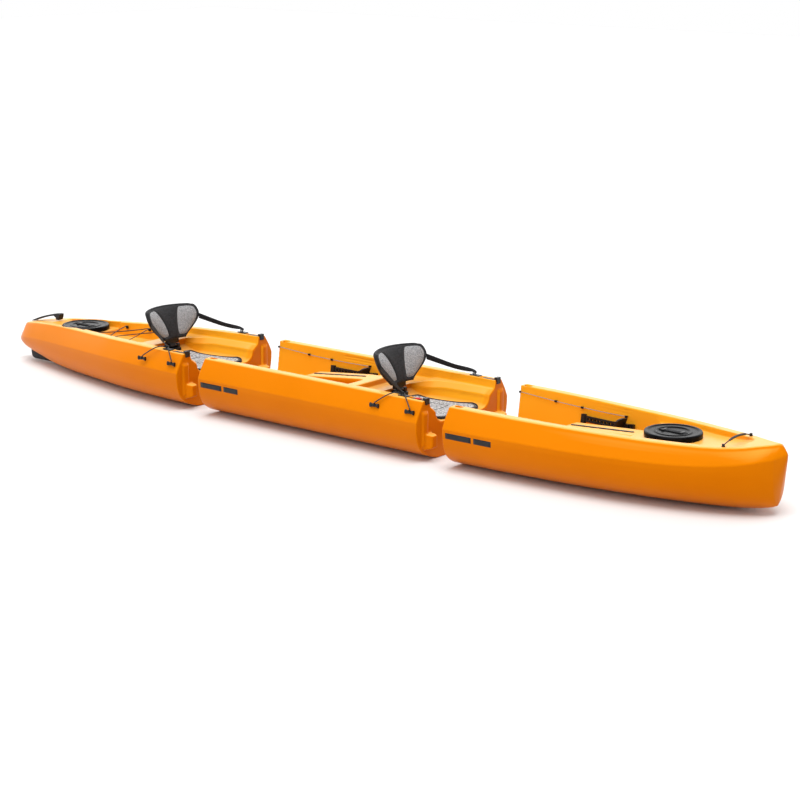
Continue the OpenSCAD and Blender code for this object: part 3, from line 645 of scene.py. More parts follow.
def weave(tree, across, along, pitch, diagonal=False):
    """The height of a woven surface: crossing rows of bumps, one per pitch metres."""
    place = axes(tree, coordinates(tree, "Object"))
    u, v = place[across], place[along]
    if diagonal:
        u, v = math_node(tree, "ADD", u, v), math_node(tree, "SUBTRACT", u, v)
    waves = []
    for value in (u, v):
        scaled = math_node(tree, "MULTIPLY", value, math.pi / pitch)
        waves.append(math_node(tree, "ABSOLUTE", math_node(tree, "SINE", scaled)))
    return math_node(tree, "MULTIPLY", waves[0], waves[1])


def attribute(tree, name):
    node = tree.nodes.new("ShaderNodeAttribute")
    node.attribute_name = name
    return node.outputs["Fac"]


def clouded(tree, first, second):
    """A tone that drifts between two colours."""
    return ramp(tree, noise(tree, 2.2, 3), [(0.3, first), (0.7, second)])


def hull_material():
    """Rotomoulded polyethylene: faintly cloudy and semi-gloss, with painted shade, a deeper tone, where it
    turns under, a painted top light, paler, on level tops, and painted light, yellower, where it faces the
    centreline."""
    material, tree, shader = shader_of("polyethylene", (0.83, 0.24, 0.001), 0.32)
    upper = clouded(tree, (0.67, 0.178, 0.0006), (0.71, 0.192, 0.0012))
    # painted shade: a deeper tone for faces that turn under, where less light reaches
    painted_shade_under = clouded(tree, (0.60, 0.145, 0.0003), (0.64, 0.160, 0.0006))
    # painted top light: a paler tone, with painted highlight in its blue, for faces that point up
    top = clouded(tree, (0.86, 0.395, 0.060), (0.89, 0.420, 0.075))
    # painted light: a lighter, yellower tone for faces towards the centreline, standing for light inside the
    # cockpit
    inner = clouded(tree, (0.83, 0.345, 0.012), (0.87, 0.375, 0.018))
    normal = axes(tree, tree.nodes.new("ShaderNodeNewGeometry").outputs["Normal"])
    # mask of the painted shade, by how far a face points downward
    turned_under_shade_mask = grey_ramp(tree, math_node(tree, "MULTIPLY_ADD", normal["Z"], 0.5), (0.46, 0), (0.57, 1))
    # mask of the painted top light, on faces that point up
    level = grey_ramp(tree, normal["Z"], (0.62, 0), (0.90, 1))
    outward = math_node(tree, "MULTIPLY", axes(tree, coordinates(tree, "Object"))["Y"], normal["Y"])
    # mask of the painted cockpit light, on faces that look towards the centreline
    cockpit_light_mask = grey_ramp(tree, math_node(tree, "MULTIPLY", outward, -1.0), (0.05, 0), (0.18, 1))
    # the sides' colour: the painted shade underneath, and the painted cockpit light on faces towards the
    # centreline
    sides = mix(tree, cockpit_light_mask, mix(tree, turned_under_shade_mask, painted_shade_under, upper), inner)
    paint(tree, shader, mix(tree, level, sides, top))
    gloss = grey_ramp(tree, noise(tree, 6, 3), (0.35, 0.29), (0.7, 0.35))
    tree.links.new(gloss, shader.inputs["Roughness"])
    bump(tree, shader, noise(tree, 300, 2), 0.03, 0.001)
    shader.inputs["Specular IOR Level"].default_value = 0.14
    shader.inputs["Specular Tint"].default_value = (1.0, 0.62, 0.06, 1)
    return material


def moulded(name, dark, light, roughness, grain=320, strength=0.12, gloss_level=0.28):
    """Moulded plastic or rubber: uneven tone, a fine grain and patchy gloss."""
    material, tree, shader = shader_of(name, dark, roughness)
    paint(tree, shader, ramp(tree, noise(tree, 24, 6), [(0.35, dark), (0.72, light)]))
    low, high = roughness * 0.8, min(1.0, roughness * 1.25)
    gloss = grey_ramp(tree, noise(tree, 55, 3), (0.3, low), (0.7, high))
    tree.links.new(gloss, shader.inputs["Roughness"])
    bump(tree, shader, noise(tree, grain, 2), strength, 0.001)
    shader.inputs["Specular IOR Level"].default_value = gloss_level
    return material


def woven(name, dark, light, pitch, across=0, along=1, diagonal=False):
    material, tree, shader = shader_of(name, dark, 0.85)
    height = weave(tree, across, along, pitch, diagonal)
    paint(tree, shader, ramp(tree, height, [(0.05, dark), (0.6, light)]))
    bump(tree, shader, height, 0.5, pitch * 0.3)
    shader.inputs["Sheen Weight"].default_value = 0.05
    shader.inputs["Specular IOR Level"].default_value = 0.2
    return material


def braided(name, dark, light, pitch):
    """Braid on a tube whose UVs run round it and, in metres, along it."""
    material, tree, shader = shader_of(name, dark, 0.7)
    place = axes(tree, coordinates(tree, "UV"))
    turn = math_node(tree, "MULTIPLY", place[0], 8 * math.pi)
    run = math_node(tree, "MULTIPLY", place[1], math.pi / pitch)
    waves = [math_node(tree, "ABSOLUTE", math_node(tree, "SINE", math_node(tree, kind, turn, run)))
             for kind in ("ADD", "SUBTRACT")]
    height = math_node(tree, "MULTIPLY", *waves)
    paint(tree, shader, ramp(tree, height, [(0.05, dark), (0.55, light)]))
    bump(tree, shader, height, 0.6, 0.0006)
    return material


def seat_pad_material():
    """Mottled grey knit, a black seam round the middle panel and a black binding."""
    material, tree, shader = shader_of("seat_knit", (0.30, 0.31, 0.33), 0.9)
    mottle = ramp(tree, noise(tree, 105, 5), [(0.40, (0.08, 0.082, 0.086)), (0.49, (0.36, 0.365, 0.375)),
                                              (0.62, (0.66, 0.665, 0.675))])
    seam = grey_ramp(tree, attribute(tree, "patch"), (0.44, 0), (0.47, 1), (0.53, 1), (0.56, 0))
    colour = mix(tree, seam, mottle, (0.010, 0.010, 0.011))
    edge = grey_ramp(tree, attribute(tree, "edge"), (0.74, 1), (0.80, 0))
    binding = ramp(tree, noise(tree, 300, 2), [(0.3, (0.010, 0.010, 0.011)), (0.7, (0.030, 0.030, 0.033))])
    paint(tree, shader, mix(tree, edge, colour, binding))
    bump(tree, shader, weave(tree, 0, 1, 0.0022), 0.5, 0.0008)
    shader.inputs["Sheen Weight"].default_value = 0.3
    return material


def back_material():
    """Black padding, with light grey mesh over the two side panels."""
    material, tree, shader = shader_of("back_padding", (0.02, 0.02, 0.022), 0.8)
    black = ramp(tree, noise(tree, 160, 5), [(0.35, (0.005, 0.005, 0.006)), (0.7, (0.028, 0.028, 0.032))])
    cells = weave(tree, 1, 2, 0.0042, diagonal=True)
    knit = ramp(tree, cells, [(0.05, (0.09, 0.092, 0.098)), (0.35, (0.40, 0.405, 0.415)),
                              (0.8, (0.56, 0.565, 0.58))])
    mottle = grey_ramp(tree, noise(tree, 130, 4), (0.36, 0.45), (0.60, 1.0))
    mesh = mix(tree, mottle, (0.11, 0.112, 0.12), knit)
    panel = grey_ramp(tree, attribute(tree, "panel"), (0.46, 0), (0.54, 1))
    paint(tree, shader, mix(tree, panel, black, mesh))
    bump(tree, shader, cells, 0.5, 0.0010)
    shader.inputs["Sheen Weight"].default_value = 0.08
    shader.inputs["Specular IOR Level"].default_value = 0.25
    return material


HULL = hull_material()
NYLON = moulded("black_nylon", (0.005, 0.005, 0.006), (0.016, 0.016, 0.018), 0.38)
RUBBER = moulded("black_rubber", (0.003, 0.003, 0.0035), (0.009, 0.009, 0.010), 0.24, grain=60, strength=0.25,
                 gloss_level=0.03)
RUDDER = moulded("rudder_black", (0.008, 0.008, 0.009), (0.024, 0.024, 0.027), 0.5)
SLEEVE = moulded("grip_sleeve", (0.035, 0.036, 0.038), (0.11, 0.112, 0.118), 0.6, grain=420, strength=0.3)
RED = moulded("red_tab", (0.42, 0.006, 0.006), (0.62, 0.012, 0.010), 0.5)
DECAL = moulded("decal_black", (0.010, 0.010, 0.011), (0.022, 0.022, 0.024), 0.38, strength=0.03)
WEBBING = woven("webbing", (0.004, 0.004, 0.005), (0.020, 0.020, 0.022), 0.0024, diagonal=True)
STITCH = woven("stitching", (0.05, 0.05, 0.055), (0.20, 0.20, 0.21), 0.0012)
PIPING = woven("piping", (0.008, 0.008, 0.009), (0.030, 0.030, 0.034), 0.0016, 1, 2, diagonal=True)
CORD = braided("shock_cord", (0.006, 0.006, 0.007), (0.038, 0.038, 0.042), 0.004)
LINE = braided("grey_line", (0.15, 0.155, 0.16), (0.42, 0.43, 0.44), 0.003)
KNIT = seat_pad_material()
PADDING = back_material()


def finish_surface(obj, material):
    obj.data.materials.clear()
    obj.data.materials.append(material)
    for polygon in obj.data.polygons:
        polygon.use_smooth = True


def place(obj, material, body, slot, *stands_for):
    """Gives a new piece its finish and body, and hides the CAD nodes that it stands for; the slot is not
    used.
    """
    finish_surface(obj, material)
    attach(obj, body)
    if stands_for:
        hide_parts(*stands_for)
    return obj


place(make_mid_hull(), HULL, "mid_section", "hull_plastic", "mid_hull")
place(make_bow_hull(), HULL, "bow_section", "hull_plastic", "bow_hull")
place(make_stern_hull(), HULL, "stern_section", "hull_plastic", "stern_hull")

# ---------- CAD fittings that stay, with eased edges ----------


def dress(node, material, bevel=0.0009):
    obj = nodes[node]
    obj.data.materials.clear()
    obj.data.materials.append(material)
    weld = obj.modifiers.new("weld", "WELD")
    weld.merge_threshold = 0.00002
    ease = obj.modifiers.new("ease", "BEVEL")
    ease.width = bevel
    ease.segments = 2
    ease.limit_method = "ANGLE"
    ease.angle_limit = math.radians(40)
    obj.modifiers.new("normals", "WEIGHTED_NORMAL")


for section in ("mid", "bow"):
    dress(section + "_console_strip", NYLON, 0.0015)
    dress(section + "_line_eyes", NYLON, 0.0007)
    dress(section + "_line_beads", NYLON, 0.0004)
    for side_name in ("port", "stbd"):
        dress(f"{section}_rail_{side_name}", NYLON, 0.0012)
        dress(f"{section}_pedal_{side_name}", NYLON, 0.0018)
for section in ("mid", "stern"):
    dress(section + "_back_base", NYLON, 0.0012)
    for side_name in ("port", "stbd"):
        dress(f"{section}_rim_plate_{side_name}", NYLON, 0.0008)
        dress(f"{section}_latch_{side_name}", NYLON, 0.0018)
    for end_name in ("fore", "aft"):
        dress(f"{section}_toggle_{end_name}", NYLON, 0.0014)
for node_name in ("bow_hatch_ring", "stern_hatch_ring"):
    dress(node_name, RUBBER, 0.001)
dress("bow_handle_eyes", NYLON, 0.0012)
dress("stern_handle", NYLON, 0.0045)
dress("rudder_blade", RUDDER, 0.003)
dress("rudder_tube", RUDDER, 0.001)
dress("bungee_hooks", NYLON, 0.002)
dress("mid_drain_plug", NYLON, 0.001)

# ---------- Lines and cords ----------


def smooth_path(points, step):
    """A Catmull-Rom curve through the points, with a point about every step metres."""
    points = [Vector(p) for p in points]
    ends = [points[0] * 2 - points[1]] + points + [points[-1] * 2 - points[-2]]
    path = []
    for a, b, c, d in zip(ends, ends[1:], ends[2:], ends[3:]):
        count = max(1, round((c - b).length / step))
        for i in range(count):
            t = i / count
            path.append(0.5 * (2 * b + (c - a) * t + (2 * a - 5 * b + 4 * c - d) * t ** 2
                               + (3 * b - a - 3 * c + d) * t ** 3))
    return path + [points[-1]]


def heading(path, i):
    """The direction of a path at its point i."""
    return (path[min(i + 1, len(path) - 1)] - path[max(i - 1, 0)]).normalized()


def tube(name, path, radii, sides=12):
    """A closed round tube along a path, with UVs round it and along it."""
    path = [Vector(p) for p in path]
    radii = [radii] * len(path) if isinstance(radii, (int, float)) else radii
    run = np.concatenate([[0], np.cumsum([(b - a).length for a, b in zip(path, path[1:])])])
    normal = None
    rings = []
    for i, point in enumerate(path):
        direction = heading(path, i)
        if normal is None:
            normal = direction.orthogonal()
        normal = (normal - direction * normal.dot(direction)).normalized()
        other = direction.cross(normal)
        rings.append([point + radii[i] * (math.cos(t) * normal + math.sin(t) * other)
                      for t in circle(sides)])
    obj = loft(name, rings)
    uvs = obj.data.uv_layers.new(name="UVMap")
    for polygon in obj.data.polygons:
        corners = [(index // sides, index % sides) for index in polygon.vertices]
        wraps = len({k for _, k in corners} & {0, sides - 1}) == 2
        for loop, (i, k) in zip(polygon.loop_indices, corners):
            uvs.data[loop].uv = ((k + (sides if wraps and k == 0 else 0)) / sides, run[i])
    return obj


CORD_R = 0.003
# Each toggle cord's route in millimetres: x from the front face, y, z
CORD_ROUTES = {
    "fore": [(-139, -290, 315), (-134, -295, 317), (-129, -300, 318), (-123, -306, 318), (-117, -312, 316),
             (-111, -317, 313), (-104, -323, 309), (-97, -328, 304), (-90, -333, 298), (-83, -337, 292),
             (-76, -341, 286), (-69, -346, 280), (-62, -350, 274), (-56, -354, 269), (-50, -357, 264)],
    "aft": [(-161, -290, 315), (-166, -295, 317), (-172, -300, 318), (-179, -306, 318), (-187, -312, 317),
            (-195, -318, 314), (-204, -324, 310), (-213, -329, 305), (-222, -334, 299), (-231, -338, 293),
            (-240, -343, 286), (-248, -347, 280), (-256, -351, 274), (-263, -354, 268), (-270, -357, 263)],
}


def toggle_cord(section, front, end):
    route = [Vector((front + x / 1000, y / 1000, z / 1000)) for x, y, z in CORD_ROUTES[end]]
    path = smooth_path(route, 0.002)
    node = f"{section}_cord_{end}"
    cord = place(tube(node + "_braid", path, CORD_R), CORD, section + "_section", "shock_cord", node)


for section, front in (("mid", MID_FRONT), ("stern", STERN_FRONT)):
    for end in ("fore", "aft"):
        toggle_cord(section, front, end)

# The steering line along a footwell's wall: x from the rear face, and height
LINE_ROUTE = [(0.010, 0.271), (0.110, 0.265), (0.225, 0.259), (0.300, 0.256), (0.385, 0.2545), (0.520, 0.254),
              (0.650, 0.256)]


def steering_line(section, rear, stations, side_name, side):
    route = [(rear + x, side * (wall_y(stations, x, z) - 0.0055), z) for x, z in LINE_ROUTE]
    node = f"{section}_line_{side_name}"
    line = tube(node + "_braid", smooth_path(route, 0.003), 0.0016, 8)
    place(line, LINE, section + "_section", "steering_line", node)


for section, rear, stations in (("mid", MID_REAR, MID_STATIONS), ("bow", BOW_REAR, BOW_STATIONS)):
    for side_name, side in (("port", 1), ("stbd", -1)):
        steering_line(section, rear, stations, side_name, side)

BUNGEE_POSTS = [(x, rim_in(STERN_STATIONS, x) - 0.020) for x in (-0.590, -0.750, -0.900)]


def bungee_run(first, lift):
    points = []
    for i in range(2):
        (x0, y0), (x1, y1) = BUNGEE_POSTS[i:i + 2]
        side = first * (1, -1)[i]
        for t in np.arange(6) / 6:
            points.append((STERN_FRONT + x0 * (1 - t) + x1 * t, side * (y0 * (1 - t) - y1 * t),
                           DECK_Z + 0.002 + lift * math.sin(math.pi * t)))
    x, y = BUNGEE_POSTS[2]
    points.append((STERN_FRONT + x, first * y, DECK_Z + 0.002))
    return points


for name, first, lift, nodes_replaced in (("bungee_over", 1, 0.004, ["bungee_net"]),
                                          ("bungee_under", -1, -0.004, [])):
    run = tube(name, smooth_path(bungee_run(first, lift), 0.004), 0.0025)
    place(run, CORD, "stern_section", "shock_cord", *nodes_replaced)

# ---------- The bow handle: a ribbed sleeve on a cord ----------

HANDLE_X, HANDLE_Z, HANDLE_HALF = 1.375, 0.314, 0.112


def handle_point(t):
    return Vector((BOW_REAR + HANDLE_X, HANDLE_HALF * t, HANDLE_Z + 0.017 * (1 - t * t)))


def bow_handle():
    stations = np.linspace(-1, 1, 241)
    radii = []
    for t in stations:
        rib = 0.0005 * math.cos(t * 2 * math.pi * 24)
        radii.append(0.0052 + rib if abs(t) < 0.62 else 0.0028)
    sleeve = tube("bow_handle_sleeve", [handle_point(t) for t in stations], radii, 16)
    place(sleeve, SLEEVE, "bow_handle_body", "handle_sleeve", "bow_handle")


bow_handle()

# ---------- Hatch lids ----------

# A lid's half section, from the axis over the top and back to the axis: radius, and height over the deck
LID_PROFILE = [
    (0.0, 0.0215), (0.030, 0.0215), (0.066, 0.0218), (0.071, 0.0225), (0.0745, 0.0252),
    (0.078, 0.0266), (0.084, 0.0266), (0.0872, 0.0256), (0.0893, 0.0238), (0.094, 0.0235),
    (0.110, 0.0236), (0.1145, 0.0244), (0.118, 0.0266), (0.1215, 0.0277), (0.1285, 0.0277),
    (0.1318, 0.0262), (0.1338, 0.0236), (0.1347, 0.0200), (0.1348, 0.0100), (0.1346, 0.0030),
    (0.1338, 0.0014), (0.1320, 0.0009), (0.1302, 0.0012), (0.1300, 0.0128), (0.0900, 0.0153),
    (0.0860, 0.0168), (0.0, 0.0170),
]


def lathe(name, centre, profile, count=144):
    """A closed solid of revolution whose profile starts and ends on the axis."""
    cx, cy, cz = centre
    angles = circle(count)
    verts = [(cx, cy, cz + profile[0][1]), (cx, cy, cz + profile[-1][1])]
    for r, z in profile[1:-1]:
        verts += [(cx + r * math.cos(t), cy + r * math.sin(t), cz + z) for t in angles]
    faces = []
    last = 2 + (len(profile) - 3) * count
    for k in range(count):
        n = (k + 1) % count
        faces += [(0, 2 + k, 2 + n), (1, last + n, last + k)]
        for i in range(len(profile) - 3):
            a = 2 + i * count
            faces.append((a + k, a + count + k, a + count + n, a + n))
    obj = new_object(name, verts, faces)
    fix_normals(obj)
    return obj


def block(name, low, high, bevel=0.0015):
    """A box with rounded edges."""
    obj = box(name, low, high)
    ease = obj.modifiers.new("ease", "BEVEL")
    ease.width = bevel
    ease.segments = 3
    apply_modifiers(obj)
    return obj


def hatch_lid(section, origin, hatch):
    x, z = origin + hatch[0], hatch[1]
    body = section + "_hatch_lid_body"
    lid = lathe(section + "_lid", (x, 0, z), LID_PROFILE)
    place(lid, RUBBER, body, "hatch_plastic", section + "_hatch_lid")
    strap = block(section + "_lid_strap", (x - 0.0700, -0.0130, z + 0.0212), (x + 0.0700, 0.0130, z + 0.0262))
    place(strap, WEBBING, body, "hatch_plastic")
    for index, dx in enumerate((-0.048, 0.048)):
        buckle = block(f"{section}_lid_buckle_{index}", (x + dx - 0.0065, -0.0190, z + 0.0214),
                       (x + dx + 0.0065, 0.0190, z + 0.0286), 0.002)
        place(buckle, NYLON, body, "hatch_plastic")


hatch_lid("bow", BOW_REAR, BOW_HATCH)
hatch_lid("stern", STERN_FRONT, STERN_HATCH)

# ---------- Padded pieces ----------


def grid_shell(name, front, back, rows, columns):
    """A closed shell between two grids of points that share their outline."""
    count = columns + 1
    verts = list(front) + list(back)
    size = len(front)
    faces = []
    for i in range(rows):
        for k in range(columns):
            a = i * count + k
            faces.append((a, a + 1, a + count + 1, a + count))
            faces.append((size + a, size + a + count, size + a + count + 1, size + a + 1))
    edge = list(range(count))
    edge += [i * count + columns for i in range(1, rows + 1)]
    edge += [rows * count + k for k in range(columns - 1, -1, -1)]
    edge += [i * count for i in range(rows - 1, 0, -1)]
    for a, b in zip(edge, edge[1:] + edge[:1]):
        faces.append((a, size + a, size + b, b))
    obj = new_object(name, verts, faces)
    fix_normals(obj)
    return obj


def set_attribute(obj, name, values):
    layer = obj.data.attributes.new(name, "FLOAT", "POINT")
    layer.data.foreach_set("value", np.asarray(values, np.float32))


def inflate(obj, pinned, cap, pressure):
    """Cloth simulation: the shell swells between its pinned seams, by at most cap metres."""
    rest = [v.co.copy() for v in obj.data.vertices]
    group = obj.vertex_groups.new(name="seams")
    group.add([int(i) for i in np.flatnonzero(pinned)], 1.0, "REPLACE")
    cloth = obj.modifiers.new("cloth", "CLOTH")
    settings = cloth.settings
    settings.quality = 6
    settings.vertex_group_mass = "seams"
    settings.use_pressure = True
    settings.uniform_pressure_force = pressure
    settings.effector_weights.gravity = 0
    settings.tension_stiffness = 25
    settings.compression_stiffness = 25
    settings.bending_stiffness = 2
    cloth.collision_settings.use_collision = False
    scene = bpy.context.scene
    for frame_number in range(1, 21):
        scene.frame_set(frame_number)
    graph = bpy.context.evaluated_depsgraph_get()
    swollen = [v.co.copy() for v in obj.evaluated_get(graph).data.vertices]
    obj.modifiers.remove(cloth)
    scene.frame_set(1)
    for vertex, start, end in zip(obj.data.vertices, rest, swollen):
        move = end - start
        vertex.co = start + move * min(1.0, cap / max(move.length, 1e-9))


def subdivide(obj):
    modifier = obj.modifiers.new("subdivide", "SUBSURF")
    modifier.levels = modifier.render_levels = 1
    apply_modifiers(obj)


# The pad's corners, rear and front: x behind the front face, half width, and corner radius
PAD_ENDS = ((-0.320, 0.070, 0.055), (-0.072, 0.112, 0.064))
PAD_REAR_X, PAD_LENGTH, PAD_MIDDLE_X = -0.3745, 0.366, -0.190
PAD_TOP_MAX, PAD_BASE_MAX = 0.2035, 0.2010
PATCH_HALF_X, PATCH_HALF_Y = 0.052, 0.058


def pad_inside(x, y):
    """How far a point lies inside the pad's outline, the hull of four round corners."""
    (xr, yr, rr), (xf, yf, rf) = PAD_ENDS
    length = math.hypot(xf - xr, yf - yr)
    lean = math.atan2(yf - yr, xf - xr) + math.asin((rf - rr) / length)
    y = abs(y)
    side = (yr - y) * math.cos(lean) - (xr - x) * math.sin(lean) + rr
    inside = [side, x - (xr - rr), (xf + rf) - x]
    for cx, cy, r in PAD_ENDS:
        outward = x < cx if cx == xr else x > cx
        if outward and y > cy:
            inside.append(r - math.hypot(x - cx, y - cy))
    return min(inside)


def pan_z(x, y):
    """The height of the seat pan's surface, x behind the front face."""
    xs = [row[0] for row in PAN]
    top, top_z, floor, floor_z, corner = [
        float(monotone(xs, [row[i] for row in PAN], x)) for i in range(1, 6)]
    y = abs(y)
    if y < floor - corner:
        return floor_z
    if y < floor:
        return floor_z + corner - math.sqrt(max(0, corner ** 2 - (y - floor + corner) ** 2))
    return floor_z + corner + (top_z - floor_z - corner) * (y - floor) / (top - floor)


def farthest(inside, limit, halvings):
    """The farthest one can go, up to limit, and still be inside, found by halving."""
    low, high = 0.0, limit
    for _ in range(halvings):
        middle = (low + high) / 2
        low, high = (middle, high) if inside(middle) else (low, middle)
    return low


def add_pad_binding(section, front, radius=0.0042):
    """The thick corded binding that stands up round the pad's edge."""
    points = []
    for angle in np.linspace(0, 2 * math.pi, 180):
        dx, dy = math.cos(angle), math.sin(angle)
        r = farthest(lambda r: pad_inside(PAD_MIDDLE_X + r * dx, r * dy) > radius, 0.3, 22)
        x, y = PAD_MIDDLE_X + r * dx, r * dy
        points.append((front + x, y, min(pan_z(x, y) + 0.0075, PAD_BASE_MAX)))
    binding = tube(section + "_pad_binding", smooth_path(points, 0.004), radius, 10)
    place(binding, PIPING, section + "_section", "seat_fabric")


def seat_pad(section, front):
    rows, columns = 84, 84
    top, bottom, edge, patch = [], [], [], []
    for x in PAD_REAR_X + PAD_LENGTH * (1 - np.cos(np.linspace(0.02, math.pi - 0.02, rows + 1))) / 2:
        half = farthest(lambda y: pad_inside(x, y) > 0, 0.25, 24)
        for y in half * np.sin(np.linspace(-math.pi / 2, math.pi / 2, columns + 1)):
            depth = max(0.0, pad_inside(x, y))
            base = pan_z(x, y)
            rise = 0.0035 + 0.0085 * min(1, depth / 0.020) ** 0.5
            top.append((front + x, y, min(base + rise, PAD_TOP_MAX)))
            bottom.append((front + x, y, min(base + 0.0012, PAD_BASE_MAX)))
            edge.append(depth / 0.026)
            patch.append(0.5 + 12 * min(PATCH_HALF_X - abs(x - PAD_MIDDLE_X), PATCH_HALF_Y - abs(y)))
    pad = grid_shell(section + "_pad", top, bottom, rows, columns)
    set_attribute(pad, "edge", edge + [0.0] * len(edge))
    set_attribute(pad, "patch", patch + patch)
    held = (np.array(edge) < 0.55) | (np.abs(np.array(patch) - 0.5) < 0.03)
    inflate(pad, np.concatenate([held, np.ones(len(held), bool)]), 0.006, 4)
    subdivide(pad)
    place(pad, KNIT, section + "_section", "seat_fabric", section + "_seat_pad")
    add_pad_binding(section, front)


seat_pad("mid", MID_FRONT)
seat_pad("stern", STERN_FRONT)

# ---------- Backrests ----------

BACK_X, BACK_FOOT_Z, BACK_BEND, BACK_T = -0.388, 0.277, 0.277, 0.028
BACK_LEAN = math.tan(math.radians(25.2))
BACK_TOP_Z, SHOULDER_Z = 0.4560, 0.4535
PANEL_MIDDLE = (0.118, 0.380)
# The hinge pin: x from the front face, and height
HINGE_X, HINGE_Z = -0.404, 0.240
# Half width and height up the backrest's edge
BACK_EDGE = [(0.079, 0.277), (0.107, 0.304), (0.138, 0.331), (0.164, 0.358), (0.181, 0.386), (0.187, 0.408),
             (0.1845, 0.431), (0.175, 0.446), (0.155, 0.4535)]


def back_half_width(z):
    """The backrest's half width at height z, rounded in over the top."""
    heights = [row[1] for row in BACK_EDGE]
    widths = [row[0] for row in BACK_EDGE]
    return float(monotone(heights, widths, min(z, heights[-1])))


def back_top(y):
    """How high the backrest reaches at this distance from the middle."""
    return BACK_TOP_Z - 0.0025 * (abs(y) / 0.155) ** 2


def back_point(front, y, z, depth):
    """A point on the backrest: depth 0 on its front surface, 1 on its back."""
    radius = BACK_BEND + depth * BACK_T
    bend = math.asin(y / BACK_BEND)
    x = BACK_X + BACK_BEND - radius * math.cos(bend)
    x -= BACK_LEAN * (z - BACK_FOOT_Z)
    return Vector((front + x, radius * math.sin(bend) * (1 - 0.02 * depth), z))


def soft_min(values, softness):
    """The least of the values, with the corners between them rounded off."""
    return -softness * math.log(sum(math.exp(-value / softness) for value in values))


def panel_inner(z):
    """How far from the middle a side panel starts at height z."""
    return 0.040 + 2.13 * (z - 0.290) ** 2


def panel_inside(y, z):
    """How far inside a side panel's outline a point of the front lies, in metres."""
    y = abs(y)
    inner, outer = (y - panel_inner(z)) * 0.96, (back_half_width(z) - 0.013 - y) * 0.8
    return soft_min((inner, outer, z - 0.300, 0.4420 - z), 0.005)


def crown(y, z, rim):
    """How far the padding stands forward: over the middle panel, and over each side panel."""
    inside = panel_inside(y, z)
    edge = 1 - math.exp(-max(0.0, min(abs(inside), rim)) / 0.008)
    whole = 1 - math.exp(-max(0.0, rim) / 0.030)
    return 0.26 * edge + 0.62 * whole


def backrest(section, front):
    rows, columns = 46, 84
    face, rear, panel, seam = [], [], [], []
    for z in np.linspace(BACK_FOOT_Z + 0.001, SHOULDER_Z, rows + 1):
        half = back_half_width(z) - 0.0022
        for y in half * np.linspace(-1, 1, columns + 1):
            raised = z + (back_top(y) - SHOULDER_Z - 0.001) * max(0, (z - 0.43) / 0.0235)
            height = min(raised, back_top(y) - 0.0008)
            rim = min(half - abs(y), z - BACK_FOOT_Z, SHOULDER_Z - z)
            thin = 0.30 * (1 - min(1, max(rim, 0) / 0.014)) ** 2
            inside = panel_inside(y, z)
            face.append(back_point(front, y, height, 0.10 + thin - crown(y, z, rim)))
            rear.append(back_point(front, y, height, 0.90 - thin))
            panel.append(0.5 + inside * 60)
            seam.append(abs(inside) < 0.0028 or rim < 0.003)
    back = grid_shell(section + "_back", face, rear, rows, columns)
    set_attribute(back, "panel", panel + [0.0] * len(panel))
    inflate(back, np.array(seam + seam), 0.0045, 3)
    subdivide(back)
    body = section + "_backrest_body"
    place(back, PADDING, body, "back_padding", section + "_backrest")
    add_back_trim(section, front, body)


def back_loop(front, inset, depth):
    """Points round the backrest's outline, inset metres inside it."""
    half = []
    for z in np.linspace(BACK_FOOT_Z + inset, 0.4500 - inset, 26):
        half.append((back_half_width(z) - inset, z))
    edge = half[-1]
    for t in np.linspace(0.15, 1, 12):
        y = edge[0] * (1 - t)
        half.append((y, min(back_top(y) - inset, edge[1] + 0.0045 * min(1, t * 3))))
    loop = half + [(-y, z) for y, z in reversed(half[:-1])]
    return [back_point(front, y, z, depth) for y, z in loop]


def panel_loop(front, side, grow, depth):
    """Points round a side panel's outline, grow metres outside it, found by going out from its middle."""
    points = []
    y, z = PANEL_MIDDLE
    for angle in np.linspace(0, 2 * math.pi, 72):
        dy, dz = math.cos(angle), math.sin(angle)
        r = farthest(lambda r: panel_inside(y + r * dy, z + r * dz) > -grow, 0.2, 22)
        points.append(back_point(front, side * (y + r * dy), z + r * dz, depth))
    return points


def stitches(name, path, length=0.0045, gap=0.0028, radius=0.00055):
    """A row of short thread stitches along a path, as one piece."""
    spacing = 0.001
    path = smooth_path(path, spacing)
    verts, faces = [], []
    stitch, step = int(length / spacing), int(round((length + gap) / spacing))
    for start in range(0, len(path) - stitch, step):
        a, b = path[start], path[start + stitch]
        along = (b - a).normalized()
        side = along.orthogonal().normalized()
        up = along.cross(side)
        base = len(verts)
        for centre, size in ((a, 0.4), (a.lerp(b, 0.5), 1.0), (b, 0.4)):
            verts += [centre + radius * size * (math.cos(t) * side + math.sin(t) * up)
                      for t in circle(6)]
        for ring in (base, base + 6):
            for k in range(6):
                n = (k + 1) % 6
                faces.append((ring + k, ring + n, ring + 6 + n, ring + 6 + k))
        faces += [tuple(base + k for k in range(6)), tuple(base + 12 + k for k in reversed(range(6)))]
    obj = new_object(name, verts, faces)
    fix_normals(obj)
    return obj


